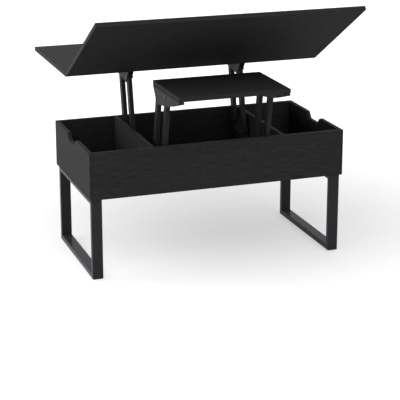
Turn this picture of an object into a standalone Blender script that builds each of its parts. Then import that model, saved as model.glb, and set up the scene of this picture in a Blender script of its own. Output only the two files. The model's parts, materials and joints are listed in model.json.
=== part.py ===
"""Lift top coffee table: a storage box on two steel loops, with a folding top and a small inner table.

X runs along the table, Y from the front panel to the back panel and Z up from the floor, in metres. Each
moving group hangs on an empty that lies on its joint axis, and its pieces are modelled in that empty's frame.
"""

from math import acos, atan2, cos, hypot, pi, radians, sin, tan

import bmesh
import bpy
from mathutils import Matrix, Vector

TABLE = "lift_top_coffee_table"
CUTTERS = "cutters"
SIDES = {"left": -1, "right": 1}
MM = 0.001

# Clearances
SEAM = 0.3 * MM  # between pieces that are screwed or glued together
RUNNING = 0.5 * MM  # between an arm and the plate it turns against
PIN_PLAY = 0.3 * MM  # round a pin in its hole
LID_GAP = 0.5 * MM  # between the closed top and the box rim
NEST_GAP = 1.0 * MM  # of the folded small top below the box rim

# Storage box
BOX_LENGTH = 990 * MM
BOX_DEPTH = 500 * MM
BOX_HEIGHT = 176 * MM
PANEL = 15 * MM
DIVIDER_SPACING = 494 * MM  # between the dividers' inner faces

# Hand notch in each side panel
NOTCH_WIDTH = 124 * MM
NOTCH_DEPTH = 25 * MM
NOTCH_SLOPE = radians(52)
NOTCH_RIM_RADIUS = 10 * MM
NOTCH_FLOOR_RADIUS = 12 * MM

# Leg loops
LEG_HEIGHT = 308 * MM
LEG_WIDTH = 40 * MM
LEG_TUBE = 20 * MM
LEG_WALL = 1.5 * MM
LEG_END_INSET = 7 * MM
LEG_FACE_INSET = 10 * MM
LEG_SCREW_RADIUS = 3 * MM
LEG_SCREW_SPACING = 320 * MM
GLIDE_RADIUS = 8 * MM
GLIDE_HEIGHT = 3 * MM
GLIDE_INSET = 20 * MM

# Boards of the two tops
BOARD = 16 * MM
LEAF_LENGTH = 1000 * MM
LEAF_DEPTH = 504 * MM
LEAF_TILT = radians(31.2)
SMALL_TOP_LENGTH = 420 * MM
SMALL_TOP_DEPTH = 300 * MM

# Lift arms: folded sheet channels
ARM_LENGTH = 247 * MM
ARM_WIDTH = 26 * MM
ARM_DEPTH = 16 * MM
ARM_WALL = 1.8 * MM
ARM_LEAN = radians(11.5)  # past upright when raised
ARM_REST = radians(6)  # above level when folded
PIVOT_SPAN = 104 * MM
PIVOT_STEP = 26 * MM
MAIN_ARM_STANDOFF = 12 * MM  # from the divider's face to the arm

# Stop studs that the raised arms lean on
STOP_RADIUS = 3 * MM
STOP_REACH = 32 * MM  # along the arm from its lower pivot
STOP_LENGTH = 12 * MM

# Top brackets: channels that hang over the arms' upper ends
SHEET = 2 * MM
TOP_BRACKET_LENGTH = 300 * MM
TOP_BRACKET_END = 5 * MM  # depth at the deep end's edge
TOP_BRACKET_HEEL = (44 * MM, 64 * MM)  # distance from the deep end, depth
TOP_BRACKET_KNEE = (175 * MM, 46 * MM)
TOP_BRACKET_TIP = 9 * MM
TOP_SCREW_SPACING = 120 * MM
DEEP_PIVOT_INSET = 37 * MM
DEEP_PIVOT_DROP = 43 * MM

# Base brackets
BASE_ROOM = 4 * MM  # from the bracket's end to the panel that it faces
BASE_MARGIN = 16 * MM  # before the deep pivot
BASE_CREST = 18 * MM  # above each pivot
BASE_STOP_MARGIN = 8 * MM  # round the stop stud
MAIN_BASE_DROP = 26 * MM  # below the deep pivot
SMALL_BASE_FOOT = 28 * MM
CORNER = 5 * MM
SCREW_HOLE_RADIUS = 2.2 * MM

# Pivot pins
PIN_RADIUS = 4 * MM
PIN_HEAD_RADIUS = 7 * MM
PIN_HEAD = 2 * MM
PIN_TAIL_RADIUS = 5.5 * MM
PIN_TAIL = 1.5 * MM

# Butt hinges between the leaves
HINGE_COUNT = 5
HINGE_END_INSET = 60 * MM  # from the leaf's end to the first hinge's middle
HINGE_LENGTH = 50 * MM
HINGE_KNUCKLES = 5
HINGE_PLATE = 1.2 * MM
HINGE_PLATE_DROP = 12 * MM
KNUCKLE_RADIUS = 3 * MM
KNUCKLE_GAP = 0.4 * MM
HINGE_PIN_RADIUS = 1.2 * MM
HINGE_LIFT = 0.3 * MM  # of the axis above the leaves' top faces
LEAF_EDGE_GAP = 0.5 * MM  # from the axis to each leaf's edge

ROUND = 16  # sides of a round piece
PASS = 3 * MM  # how far a cutter passes the faces it cuts

# Levels and places worked out from the sizes above. In the box's frame Y starts at the front face
BOX_FLOOR = LEG_HEIGHT
BOX_RIM = BOX_FLOOR + BOX_HEIGHT
FLOOR_TOP = BOX_FLOOR + PANEL
DIVIDER_FACE = DIVIDER_SPACING / 2
TRAVEL = ARM_LENGTH * (sin(ARM_LEAN) + cos(ARM_REST))
RISE = ARM_LENGTH * (cos(ARM_LEAN) - sin(ARM_REST))
STOP_STANDOFF = ARM_WIDTH / 2 + STOP_RADIUS + SEAM  # from the arm's middle line to the stud's
STOP_ALONG = STOP_STANDOFF * cos(ARM_LEAN) + STOP_REACH * sin(ARM_LEAN)
STOP_UP = STOP_REACH * cos(ARM_LEAN) - STOP_STANDOFF * sin(ARM_LEAN)
BASE_FAR = PIVOT_SPAN + STOP_ALONG + STOP_RADIUS + BASE_STOP_MARGIN  # from the deep pivot to the far end


class Lift:
    """Two pairs of parallel arms that swing one top up and outward. It is described with the top raised.

    The deep pivots are those at the deep end of the top bracket, and the shallow ones are nearer its tip.
    """

    def __init__(self, name, outward, base_end, folded_underside, arm_face):
        self.name = name
        self.outward = outward  # +1 swings to the back, -1 to the front
        self.arm_face = arm_face  # X of the arms' outer face on the right side
        self.arms = ("front", "rear") if outward > 0 else ("rear", "front")  # deep, shallow
        self.span = Vector((0, outward * PIVOT_SPAN, PIVOT_STEP))
        reach = ARM_LENGTH * Vector((0, outward * sin(ARM_LEAN), cos(ARM_LEAN)))
        pivot_z = folded_underside + RISE - DEEP_PIVOT_DROP - reach.z
        self.deep_base = Vector((0, base_end - outward * BASE_FAR, pivot_z))
        self.deep_end = (self.deep_base + reach).y - outward * DEEP_PIVOT_INSET

    @property
    def arm_middle(self):
        """X of the arms' and top brackets' middle plane on the right side."""
        return self.arm_face - ARM_DEPTH / 2

    @property
    def plate_face(self):
        """X of the bracket plates' inner face on the right side."""
        return self.arm_face + RUNNING

    @property
    def lean(self):
        """Turn about X of the raised arms."""
        return -self.outward * ARM_LEAN


MAIN = Lift(
    "main",
    outward=1,
    base_end=BOX_DEPTH - PANEL - BASE_ROOM,
    folded_underside=BOX_RIM + LID_GAP,
    arm_face=DIVIDER_FACE - MAIN_ARM_STANDOFF,
)
SMALL = Lift(
    "small",
    outward=-1,
    base_end=PANEL + BASE_ROOM,
    folded_underside=BOX_RIM - NEST_GAP - BOARD,
    arm_face=SMALL_TOP_LENGTH / 2 - SHEET - RUNNING,
)

LEAF_FRONT = (BOX_DEPTH - LEAF_DEPTH) / 2 + TRAVEL  # the closed top is centred on the box
MAIN_BRACKET_INSET = MAIN.deep_end - LEAF_FRONT
HINGE_Y = LEAF_FRONT - LEAF_EDGE_GAP
LEAF_BACK = LEAF_FRONT + LEAF_DEPTH
LEAF_TIP = HINGE_Y - (LEAF_EDGE_GAP + LEAF_DEPTH) * cos(LEAF_TILT) - (HINGE_LIFT + BOARD) * sin(LEAF_TILT)
SMALL_TOP_FRONT = SMALL.deep_end - SMALL_TOP_DEPTH
BOX_FRONT = -(min(SMALL_TOP_FRONT, LEAF_TIP) + LEAF_BACK) / 2  # centres the raised table on the origin


# Scene, materials and groups


def empty_scene():
    """Removes what the scene holds and makes one collection for the table and one for its cutters."""
    for item in list(bpy.data.objects):
        bpy.data.objects.remove(item)
    for name in (TABLE, CUTTERS):
        bpy.context.scene.collection.children.link(bpy.data.collections.new(name))


def make_material(name, colour, roughness, metallic):
    material = bpy.data.materials.new(name)
    material.use_nodes = True
    shader = material.node_tree.nodes["Principled BSDF"]
    shader.inputs["Base Color"].default_value = (*colour, 1)
    shader.inputs["Roughness"].default_value = roughness
    shader.inputs["Metallic"].default_value = metallic
    return material


def make_group(name, location, turn=0.0, parent=None):
    """An empty on a joint axis, turned about X. Its pieces are modelled in its frame."""
    group = bpy.data.objects.new(name, None)
    bpy.data.collections[TABLE].objects.link(group)
    group.parent = parent
    group.location = location
    group.rotation_euler.x = turn
    return group


def add_piece(name, mesh, group, material, smooth=False):
    """The named sub-part, from a mesh in its group's frame."""
    piece = bpy.data.objects.new(name, mesh)
    bpy.data.collections[TABLE].objects.link(piece)
    piece.parent = group
    mesh.materials.append(material)
    if smooth:
        mesh.shade_smooth()
        mesh.set_sharp_from_angle(angle=radians(35))
    return piece


# Shapes


def mesh_of(form):
    mesh = bpy.data.meshes.new("mesh")
    form.to_mesh(mesh)
    form.free()
    return mesh


def blocks(*corners):
    """Boxes that lie apart, each from its low and high corner."""
    form = bmesh.new()
    for low, high in corners:
        size = Vector(high) - Vector(low)
        middle = (Vector(high) + Vector(low)) / 2
        bmesh.ops.create_cube(form, size=1, matrix=Matrix.Translation(middle) @ Matrix.Diagonal((*size, 1)))
    return mesh_of(form)


def rods(starts, length, radius, axis="X"):
    """Round rods that lie apart, each from its start point along +X or +Z."""
    turn = Matrix.Rotation(pi / 2, 4, "Y") if axis == "X" else Matrix.Identity(4)
    form = bmesh.new()
    for start in starts:
        place = Matrix.Translation(start) @ turn @ Matrix.Translation((0, 0, length / 2))
        bmesh.ops.create_cone(
            form, cap_ends=True, segments=ROUND, radius1=radius, radius2=radius, depth=length, matrix=place
        )
    return mesh_of(form)


def rectangle(u_from, u_to, v_from, v_to):
    return [(u_from, v_from), (u_to, v_from), (u_to, v_to), (u_from, v_to)]


def circle(radius, u=0.0, v=0.0):
    turns = [2 * pi * i / ROUND for i in range(ROUND)]
    return [(u + radius * cos(turn), v + radius * sin(turn)) for turn in turns]


def rounded(corners, steps=4):
    """A closed outline from corners (u, v, radius), with an arc of so many steps at each corner."""
    outline = []
    for i, (u, v, radius) in enumerate(corners):
        corner = Vector((u, v))
        if radius == 0:
            outline.append(corner)
            continue
        before = (Vector(corners[i - 1][:2]) - corner).normalized()
        after = (Vector(corners[(i + 1) % len(corners)][:2]) - corner).normalized()
        reach = radius / tan(before.angle(after) / 2)
        centre = corner + (before + after).normalized() * hypot(radius, reach)
        first = corner + before * reach - centre
        last = corner + after * reach - centre
        start = atan2(first.y, first.x)
        sweep = (atan2(last.y, last.x) - start + pi) % (2 * pi) - pi
        turns = [start + sweep * k / steps for k in range(steps + 1)]
        outline += [centre + radius * Vector((cos(turn), sin(turn))) for turn in turns]
    return [tuple(p) for i, p in enumerate(outline) if (p - outline[i - 1]).length > 0.01 * MM]


def flat_piece(outline, x_from, x_to, holes=()):
    """An outline in the YZ plane, less its holes, made solid between two X values."""
    curve = bpy.data.curves.new("outline", "CURVE")
    curve.dimensions = "2D"
    curve.fill_mode = "BOTH"
    curve.extrude = abs(x_to - x_from) / 2
    for loop in (outline, *holes):
        spline = curve.splines.new("POLY")
        spline.points.add(len(loop) - 1)
        spline.use_cyclic_u = True
        for point, (u, v) in zip(spline.points, loop):
            point.co = (u, v, 0, 1)
    guide = bpy.data.objects.new("outline", curve)
    bpy.context.scene.collection.objects.link(guide)
    mesh = bpy.data.meshes.new_from_object(guide.evaluated_get(bpy.context.evaluated_depsgraph_get()))
    bpy.data.objects.remove(guide)
    form = bmesh.new()
    form.from_mesh(mesh)
    bmesh.ops.remove_doubles(form, verts=form.verts, dist=0.001 * MM)
    form.transform(Matrix(((0, 0, 1, (x_from + x_to) / 2), (1, 0, 0, 0), (0, 1, 0, 0), (0, 0, 0, 1))))
    bmesh.ops.recalc_face_normals(form, faces=form.faces)
    return mesh_of(form)


def folded_sheet(outline, x, facing, folds):
    """The outer faces of a sheet plate at X, which faces +X or -X, with strips folded off its edges.

    A fold is a test on the (Y, Z) of an edge's middle, and the vectors by which the edges that pass the test
    are drawn out in turn.
    """
    form = bmesh.new()
    form.faces.new([form.verts.new((x, u, v)) for u, v in outline])
    rim = list(form.edges)
    for is_folded, strips in folds:
        middles = [(edge, (edge.verts[0].co + edge.verts[1].co) / 2) for edge in rim]
        edges = [edge for edge, middle in middles if is_folded(middle.y, middle.z)]
        for strip in strips:
            drawn = bmesh.ops.extrude_edge_only(form, edges=edges)["geom"]
            ends = [item for item in drawn if isinstance(item, bmesh.types.BMVert)]
            bmesh.ops.translate(form, verts=ends, vec=strip)
            edges = [edge for edge in form.edges if edge.verts[0] in ends and edge.verts[1] in ends]
    bmesh.ops.remove_doubles(form, verts=form.verts, dist=0.01 * MM)
    bmesh.ops.recalc_face_normals(form, faces=form.faces)
    form.normal_update()
    if max(form.faces, key=lambda face: face.calc_area()).normal.x * facing < 0:
        bmesh.ops.reverse_faces(form, faces=form.faces)
    return mesh_of(form)


def on_side(side, mesh):
    """A mesh made for the right side (+1), mirrored for the left side (-1)."""
    if side < 0:
        mesh.transform(Matrix.Scale(-1, 4, (1, 0, 0)))
        mesh.flip_normals()
    return mesh


def mirror(piece):
    """Adds the other half of a piece that is open at its own X = 0."""
    step = piece.modifiers.new("mirror", "MIRROR")
    step.merge_threshold = 0.01 * MM


def thicken(piece, thickness):
    """Gives sheet metal its thickness, inward from the faces that were drawn."""
    step = piece.modifiers.new("sheet", "SOLIDIFY")
    step.thickness = thickness
    step.offset = -1
    step.use_even_offset = True


def combine(piece, operation, name, mesh):
    """Cuts or joins a piece with a hidden tool, a mesh in the same group's frame."""
    tool = bpy.data.objects.new(f"{piece.name}_{name}", mesh)
    bpy.data.collections[CUTTERS].objects.link(tool)
    tool.parent = piece.parent
    tool.location = piece.location
    tool.hide_render = True
    tool.display_type = "WIRE"
    step = piece.modifiers.new(name, "BOOLEAN")
    step.operation = operation
    step.solver = "EXACT"
    step.object = tool


# Storage box and legs


def notched_outline():
    """A side panel's outline: flat foot, and a sloped notch with rounded corners in the middle of its rim."""
    front, back = PANEL + SEAM, BOX_DEPTH - PANEL - SEAM
    middle, rim = BOX_DEPTH / 2, BOX_RIM
    half_rim = NOTCH_WIDTH / 2
    half_floor = half_rim - NOTCH_DEPTH / tan(NOTCH_SLOPE)
    return rounded(
        [
            (front, BOX_FLOOR, 0),
            (back, BOX_FLOOR, 0),
            (back, rim, 0),
            (middle + half_rim, rim, NOTCH_RIM_RADIUS),
            (middle + half_floor, rim - NOTCH_DEPTH, NOTCH_FLOOR_RADIUS),
            (middle - half_floor, rim - NOTCH_DEPTH, NOTCH_FLOOR_RADIUS),
            (middle - half_rim, rim, NOTCH_RIM_RADIUS),
            (front, rim, 0),
        ]
    )


def build_box(box, board):
    half = BOX_LENGTH / 2
    inner = half - PANEL - SEAM
    front, back = PANEL + SEAM, BOX_DEPTH - PANEL - SEAM
    add_piece("front_panel", blocks(((-half, 0, BOX_FLOOR), (half, PANEL, BOX_RIM))), box, board)
    add_piece(
        "back_panel", blocks(((-half, BOX_DEPTH - PANEL, BOX_FLOOR), (half, BOX_DEPTH, BOX_RIM))), box, board
    )
    add_piece("floor_panel", blocks(((-inner, front, BOX_FLOOR), (inner, back, FLOOR_TOP))), box, board)
    for name, side in SIDES.items():
        end = flat_piece(notched_outline(), side * (half - PANEL), side * half)
        add_piece(f"{name}_side_panel", end, box, board)
        wall = blocks(((DIVIDER_FACE, front, FLOOR_TOP + SEAM), (DIVIDER_FACE + PANEL, back, BOX_RIM)))
        add_piece(f"{name}_divider", on_side(side, wall), box, board)


def build_legs(box, steel, plastic):
    """Two closed loops of rectangular tube. Each is hollow, and open at the screw holes in its top bar."""
    outer = BOX_LENGTH / 2 - LEG_END_INSET
    front, back = LEG_FACE_INSET, BOX_DEPTH - LEG_FACE_INSET
    low, high = GLIDE_HEIGHT + SEAM, BOX_FLOOR - SEAM

    def loop(inset, x_inset):
        reach = LEG_TUBE - inset
        outline = rectangle(front + inset, back - inset, low + inset, high - inset)
        opening = rectangle(front + reach, back - reach, low + reach, high - reach)
        return flat_piece(outline, outer - LEG_WIDTH + x_inset, outer - x_inset, holes=[opening])

    middle = outer - LEG_WIDTH / 2
    for name, side in SIDES.items():
        leg = add_piece(f"{name}_leg_loop", on_side(side, loop(0, 0)), box, steel)
        combine(leg, "DIFFERENCE", "bore", on_side(side, loop(LEG_WALL, LEG_WALL)))
        spots = [BOX_DEPTH / 2 + step * LEG_SCREW_SPACING / 2 for step in (-1, 0, 1)]
        starts = [(middle, spot, high - LEG_TUBE - PASS) for spot in spots]
        drill = rods(starts, LEG_TUBE + 2 * PASS, LEG_SCREW_RADIUS, "Z")
        combine(leg, "DIFFERENCE", "screw_holes", on_side(side, drill))
        for end, spot in (("front", front + GLIDE_INSET), ("rear", back - GLIDE_INSET)):
            glide = rods([(middle, spot, 0)], GLIDE_HEIGHT, GLIDE_RADIUS, "Z")
            add_piece(f"{name}_{end}_glide", on_side(side, glide), box, plastic, smooth=True)


# Lifts


def build_arm(name, group, side, lift, steel):
    """A channel with round ends and a web along its front. Its group's origin is its lower pivot."""
    half = ARM_WIDTH / 2
    ends = [(-half, -half), (half, -half), (half, ARM_LENGTH + half), (-half, ARM_LENGTH + half)]
    outline = rounded([(u, v, half) for u, v in ends], steps=5)
    web = (lambda u, v: u < 0, [(-ARM_DEPTH / 2, 0, 0)])
    arm = add_piece(name, folded_sheet(outline, ARM_DEPTH / 2, 1, [web]), group, steel, smooth=True)
    arm.location.x = side * lift.arm_middle
    mirror(arm)
    thicken(arm, ARM_WALL)
    starts = [(-ARM_DEPTH / 2 - PASS, 0, height) for height in (0, ARM_LENGTH)]
    combine(arm, "DIFFERENCE", "pivot_holes", rods(starts, ARM_DEPTH + 2 * PASS, PIN_RADIUS + PIN_PLAY))


def build_pin(name, group, side, lift, tail_seat, pivot, steel):
    """A rivet along X, from its head on the outer plate to its tail, which lies against the tail seat."""
    head_face = lift.plate_face + SHEET + SEAM + PIN_HEAD
    length = head_face - (tail_seat - SEAM - PIN_TAIL)
    profile = [
        (0, 0),
        (PIN_HEAD_RADIUS, 0),
        (PIN_HEAD_RADIUS, -PIN_HEAD),
        (PIN_RADIUS, -PIN_HEAD),
        (PIN_RADIUS, PIN_TAIL - length),
        (PIN_TAIL_RADIUS, PIN_TAIL - length),
        (PIN_TAIL_RADIUS, -length),
        (0, -length),
    ]
    mesh = bpy.data.meshes.new("pin")
    mesh.from_pydata([(r, 0, z) for r, z in profile], [(i, i + 1) for i in range(len(profile) - 1)], [])
    pin = add_piece(name, mesh, group, steel)
    pin.location = (side * head_face, *pivot)
    pin.rotation_euler.y = side * pi / 2
    turn = pin.modifiers.new("turn", "SCREW")
    turn.steps = turn.render_steps = ROUND
    turn.use_merge_vertices = True
    turn.merge_threshold = 0.01 * MM


def pivot_drill(lift, first, x_from, x_to):
    """Rods for both pivot holes of a bracket. The first (Y, Z) is the deep pivot."""
    spots = [Vector((x_from, *first)) + step * lift.span for step in (0, 1)]
    return rods(spots, x_to - x_from, PIN_RADIUS + PIN_PLAY)


def build_top_bracket(name, group, side, lift, steel):
    """A tapering channel under the board, closed across its tip. Its group's origin is the deep pivot."""
    half = ARM_DEPTH / 2 + RUNNING + SHEET
    top = DEEP_PIVOT_DROP - SEAM
    tip = TOP_BRACKET_LENGTH - DEEP_PIVOT_INSET

    def corner(along, depth, radius=0.0):
        return (lift.outward * (along - DEEP_PIVOT_INSET), DEEP_PIVOT_DROP - depth, radius)

    outline = rounded(
        [
            corner(0, SEAM),
            corner(0, TOP_BRACKET_END),
            corner(*TOP_BRACKET_HEEL, CORNER),
            corner(*TOP_BRACKET_KNEE, CORNER),
            corner(TOP_BRACKET_LENGTH, TOP_BRACKET_TIP),
            corner(TOP_BRACKET_LENGTH, SEAM),
        ]
    )
    inward = [(-half, 0, 0)]
    web = (lambda u, v: v > top - SEAM, inward)
    across_tip = (lambda u, v: u * lift.outward > tip - SEAM, inward)
    bracket = add_piece(name, folded_sheet(outline, half, 1, [web, across_tip]), group, steel)
    bracket.location.x = side * lift.arm_middle
    mirror(bracket)
    thicken(bracket, SHEET)
    combine(bracket, "DIFFERENCE", "pivot_holes", pivot_drill(lift, (0, 0), -half - PASS, half + PASS))
    middle = TOP_BRACKET_LENGTH / 2 - DEEP_PIVOT_INSET
    spots = [lift.outward * (middle + step * TOP_SCREW_SPACING) for step in (-1, 0, 1)]
    starts = [(0, spot, top - SHEET - PASS) for spot in spots]
    holes = rods(starts, SHEET + 2 * PASS, SCREW_HOLE_RADIUS, "Z")
    combine(bracket, "DIFFERENCE", "screw_holes", holes)


def build_base_bracket(name, box, side, lift, steel):
    """The fixed plate that holds both lower pivots and the stud that the raised arms lean on.

    The main lift's plate folds round under itself to a tab on the divider. The small lift's stands on a foot.
    """
    deep = lift.deep_base
    if lift is MAIN:
        bottom = deep.z - MAIN_BASE_DROP
        strips = [(DIVIDER_FACE - SEAM - lift.plate_face, 0, 0), (0, 0, MAIN_BASE_DROP + BASE_CREST)]
    else:
        bottom = FLOOR_TOP + SEAM
        strips = [(SMALL_BASE_FOOT, 0, 0)]
    crest = PIVOT_STEP + STOP_UP + STOP_RADIUS + BASE_STOP_MARGIN

    def corner(along, up, radius=CORNER):
        return (deep.y + lift.outward * along, deep.z + up, radius)

    outline = rounded(
        [
            corner(-BASE_MARGIN, bottom - deep.z, 0),
            corner(BASE_FAR, bottom - deep.z, 0),
            corner(BASE_FAR, crest),
            corner(PIVOT_SPAN + ARM_WIDTH / 2, crest),
            corner(PIVOT_SPAN - BASE_CREST, PIVOT_STEP + BASE_CREST),
            corner(-BASE_MARGIN, BASE_CREST),
        ]
    )
    foot = (lambda u, v: v < bottom + SEAM, strips)
    sheet = folded_sheet(outline, lift.plate_face, -1, [foot])
    bracket = add_piece(name, on_side(side, sheet), box, steel)
    thicken(bracket, SHEET)
    drill = pivot_drill(lift, deep.yz, lift.plate_face - PASS, lift.plate_face + SHEET + PASS)
    combine(bracket, "DIFFERENCE", "pivot_holes", on_side(side, drill))
    length = BASE_FAR + BASE_MARGIN
    spots = [deep.y + lift.outward * (length * part - BASE_MARGIN) for part in (1 / 4, 3 / 4)]
    if lift is MAIN:
        starts = [(DIVIDER_FACE - SHEET - PASS, spot, deep.z - BASE_CREST / 2) for spot in spots]
        holes = rods(starts, SHEET + 2 * PASS, SCREW_HOLE_RADIUS)
    else:
        starts = [(lift.plate_face + SMALL_BASE_FOOT * 2 / 3, spot, bottom - PASS) for spot in spots]
        holes = rods(starts, SHEET + 2 * PASS, SCREW_HOLE_RADIUS, "Z")
    combine(bracket, "DIFFERENCE", "screw_holes", on_side(side, holes))
    stop_start = lift.arm_face - STOP_LENGTH
    stop = (
        stop_start,
        deep.y + lift.outward * (PIVOT_SPAN + STOP_ALONG),
        deep.z + PIVOT_STEP + STOP_UP,
    )
    stud = rods([stop], lift.plate_face + SHEET / 2 - stop_start, STOP_RADIUS)
    combine(bracket, "UNION", "stop_stud", on_side(side, stud))


def build_lift(box, lift, steel, rivet):
    """Both sides of one lift. Returns the group of the top that it carries, at its deep upper pivot."""
    deep, shallow = lift.arms
    deep_arms = make_group(f"{lift.name}_{deep}_arms_axis", lift.deep_base, lift.lean, box)
    shallow_arms = make_group(f"{lift.name}_{shallow}_arms_axis", lift.deep_base + lift.span, lift.lean, box)
    top = make_group(f"{lift.name}_top_axis", (0, 0, ARM_LENGTH), -lift.lean, deep_arms)
    arm_seat = lift.arm_face - ARM_DEPTH
    plate_seat = arm_seat - RUNNING - SHEET
    for name, side in SIDES.items():
        build_base_bracket(f"{lift.name}_base_bracket_{name}", box, side, lift, steel)
        build_top_bracket(f"{lift.name}_top_bracket_{name}", top, side, lift, steel)
        for step, (arm, group) in enumerate([(deep, deep_arms), (shallow, shallow_arms)]):
            stem = f"{lift.name}_{arm}"
            lower = lift.deep_base + step * lift.span
            upper = step * lift.span
            build_arm(f"{stem}_arm_{name}", group, side, lift, steel)
            build_pin(f"{stem}_lower_pin_{name}", box, side, lift, arm_seat, lower.yz, rivet)
            build_pin(f"{stem}_upper_pin_{name}", top, side, lift, plate_seat, upper.yz, rivet)
    return top


# Tops


def hinge_spots():
    """X of each hinge's middle along the leaves."""
    first = HINGE_END_INSET - LEAF_LENGTH / 2
    step = -2 * first / (HINGE_COUNT - 1)
    return [first + i * step for i in range(HINGE_COUNT)]


def build_leaf(name, facing, axis_y, axis_z, group, board):
    """A leaf of the folding top, on the +Y or -Y side of the hinge axis, with a pocket for each hinge."""
    near, top = axis_y + facing * LEAF_EDGE_GAP, axis_z - HINGE_LIFT
    far = near + facing * LEAF_DEPTH
    half = LEAF_LENGTH / 2
    board_mesh = blocks(((-half, min(near, far), top - BOARD), (half, max(near, far), top)))
    leaf = add_piece(name, board_mesh, group, board)
    reach = axis_y + facing * (KNUCKLE_RADIUS + SEAM)
    mouth = axis_y - facing * PASS
    pocket_half = HINGE_LENGTH / 2 + SEAM
    low, high = axis_z - HINGE_PLATE_DROP - SEAM, top + PASS
    pockets = [
        ((x - pocket_half, min(reach, mouth), low), (x + pocket_half, max(reach, mouth), high))
        for x in hinge_spots()
    ]
    combine(leaf, "DIFFERENCE", "hinge_pockets", blocks(*pockets))


def hinge_section(facing):
    """A hinge half seen along its axis: the rolled knuckle and the plate that hangs from it."""
    inner = KNUCKLE_RADIUS - HINGE_PLATE
    meet = acos(inner / KNUCKLE_RADIUS)
    steps = ROUND - 2
    turns = [(2 * pi - meet) * k / steps for k in range(steps + 1)]
    knuckle = [(KNUCKLE_RADIUS * cos(turn), KNUCKLE_RADIUS * sin(turn)) for turn in turns]
    outline = [(inner, -HINGE_PLATE_DROP), (KNUCKLE_RADIUS, -HINGE_PLATE_DROP), *knuckle]
    return [(facing * u, v) for u, v in outline]


def build_hinge_half(name, facing, x, axis_y, axis_z, group, brass):
    """Half of a butt hinge. The +Y half has the odd knuckles and the pin, and the -Y half turns on it."""
    half, bore = HINGE_LENGTH / 2, HINGE_PIN_RADIUS + PIN_PLAY
    holes = [] if facing > 0 else [circle(bore)]
    section = flat_piece(hinge_section(facing), -half, half, holes=holes)
    leaf = add_piece(name, section, group, brass, smooth=True)
    leaf.location = (x, axis_y, axis_z)
    knuckle = HINGE_LENGTH / HINGE_KNUCKLES
    reach = KNUCKLE_RADIUS + KNUCKLE_GAP
    first = 1 if facing > 0 else 0
    gaps = []
    for i in range(first, HINGE_KNUCKLES, 2):
        start = i * knuckle - half - (KNUCKLE_GAP / 2 if i else PASS)
        end = (i + 1) * knuckle - half + (KNUCKLE_GAP / 2 if i < HINGE_KNUCKLES - 1 else PASS)
        gaps.append(((start, -reach, -reach), (end, reach, reach)))
    combine(leaf, "DIFFERENCE", "knuckle_gaps", blocks(*gaps))
    if facing > 0:
        pin = rods([(knuckle / 2 - half, 0, 0)], HINGE_LENGTH - knuckle, HINGE_PIN_RADIUS)
        combine(leaf, "UNION", "pin", pin)


def build_main_top(top, board, brass):
    """Rear leaf on the main lift, the folding leaf half open in front of it, and the hinges between them."""
    axis_y = -DEEP_PIVOT_INSET - MAIN_BRACKET_INSET - LEAF_EDGE_GAP
    axis_z = DEEP_PIVOT_DROP + BOARD + HINGE_LIFT
    fold = make_group("leaf_fold_axis", (0, axis_y, axis_z), -LEAF_TILT, top)
    build_leaf("rear_leaf", 1, axis_y, axis_z, top, board)
    build_leaf("folding_leaf", -1, 0, 0, fold, board)
    for i, x in enumerate(hinge_spots(), start=1):
        build_hinge_half(f"hinge_{i}_rear_half", 1, x, axis_y, axis_z, top, brass)
        build_hinge_half(f"hinge_{i}_leaf_half", -1, x, 0, 0, fold, brass)


def build_small_top(top, board):
    half = SMALL_TOP_LENGTH / 2
    back = DEEP_PIVOT_INSET
    low = (-half, back - SMALL_TOP_DEPTH, DEEP_PIVOT_DROP)
    high = (half, back, DEEP_PIVOT_DROP + BOARD)
    add_piece("small_top", blocks((low, high)), top, board)


def main():
    empty_scene()
    board = make_material("black_woodgrain_board", (0.03, 0.03, 0.03), 0.5, 0.0)
    leg_steel = make_material("black_powder_coat", (0.025, 0.026, 0.028), 0.55, 0.0)
    lift_steel = make_material("black_lift_steel", (0.04, 0.04, 0.042), 0.4, 0.6)
    rivet = make_material("black_rivet_steel", (0.05, 0.05, 0.05), 0.35, 0.8)
    brass = make_material("brass", (0.72, 0.52, 0.2), 0.3, 1.0)
    plastic = make_material("black_plastic", (0.02, 0.02, 0.02), 0.6, 0.0)
    box = make_group("box_axis", (0, BOX_FRONT, 0))
    build_box(box, board)
    build_legs(box, leg_steel, plastic)
    build_main_top(build_lift(box, MAIN, lift_steel, rivet), board, brass)
    build_small_top(build_lift(box, SMALL, lift_steel, rivet), board)


main()
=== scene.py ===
"""Lift top coffee table: its boards, leg loops, lifts and hinges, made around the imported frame."""

import json
import logging
from abc import ABC, abstractmethod
from collections.abc import Callable, Iterable, Sequence
from dataclasses import dataclass, field
from enum import Enum
from math import atan2, cos, hypot, pi, radians, sin, sqrt, tan
from typing import Any, ClassVar

import bmesh
import bpy
from bmesh.types import BMesh, BMVert
from bpy.types import ID, Material, Mesh, Node, NodeSocket, NodeTree, Object
from mathutils import Matrix, Vector


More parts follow.
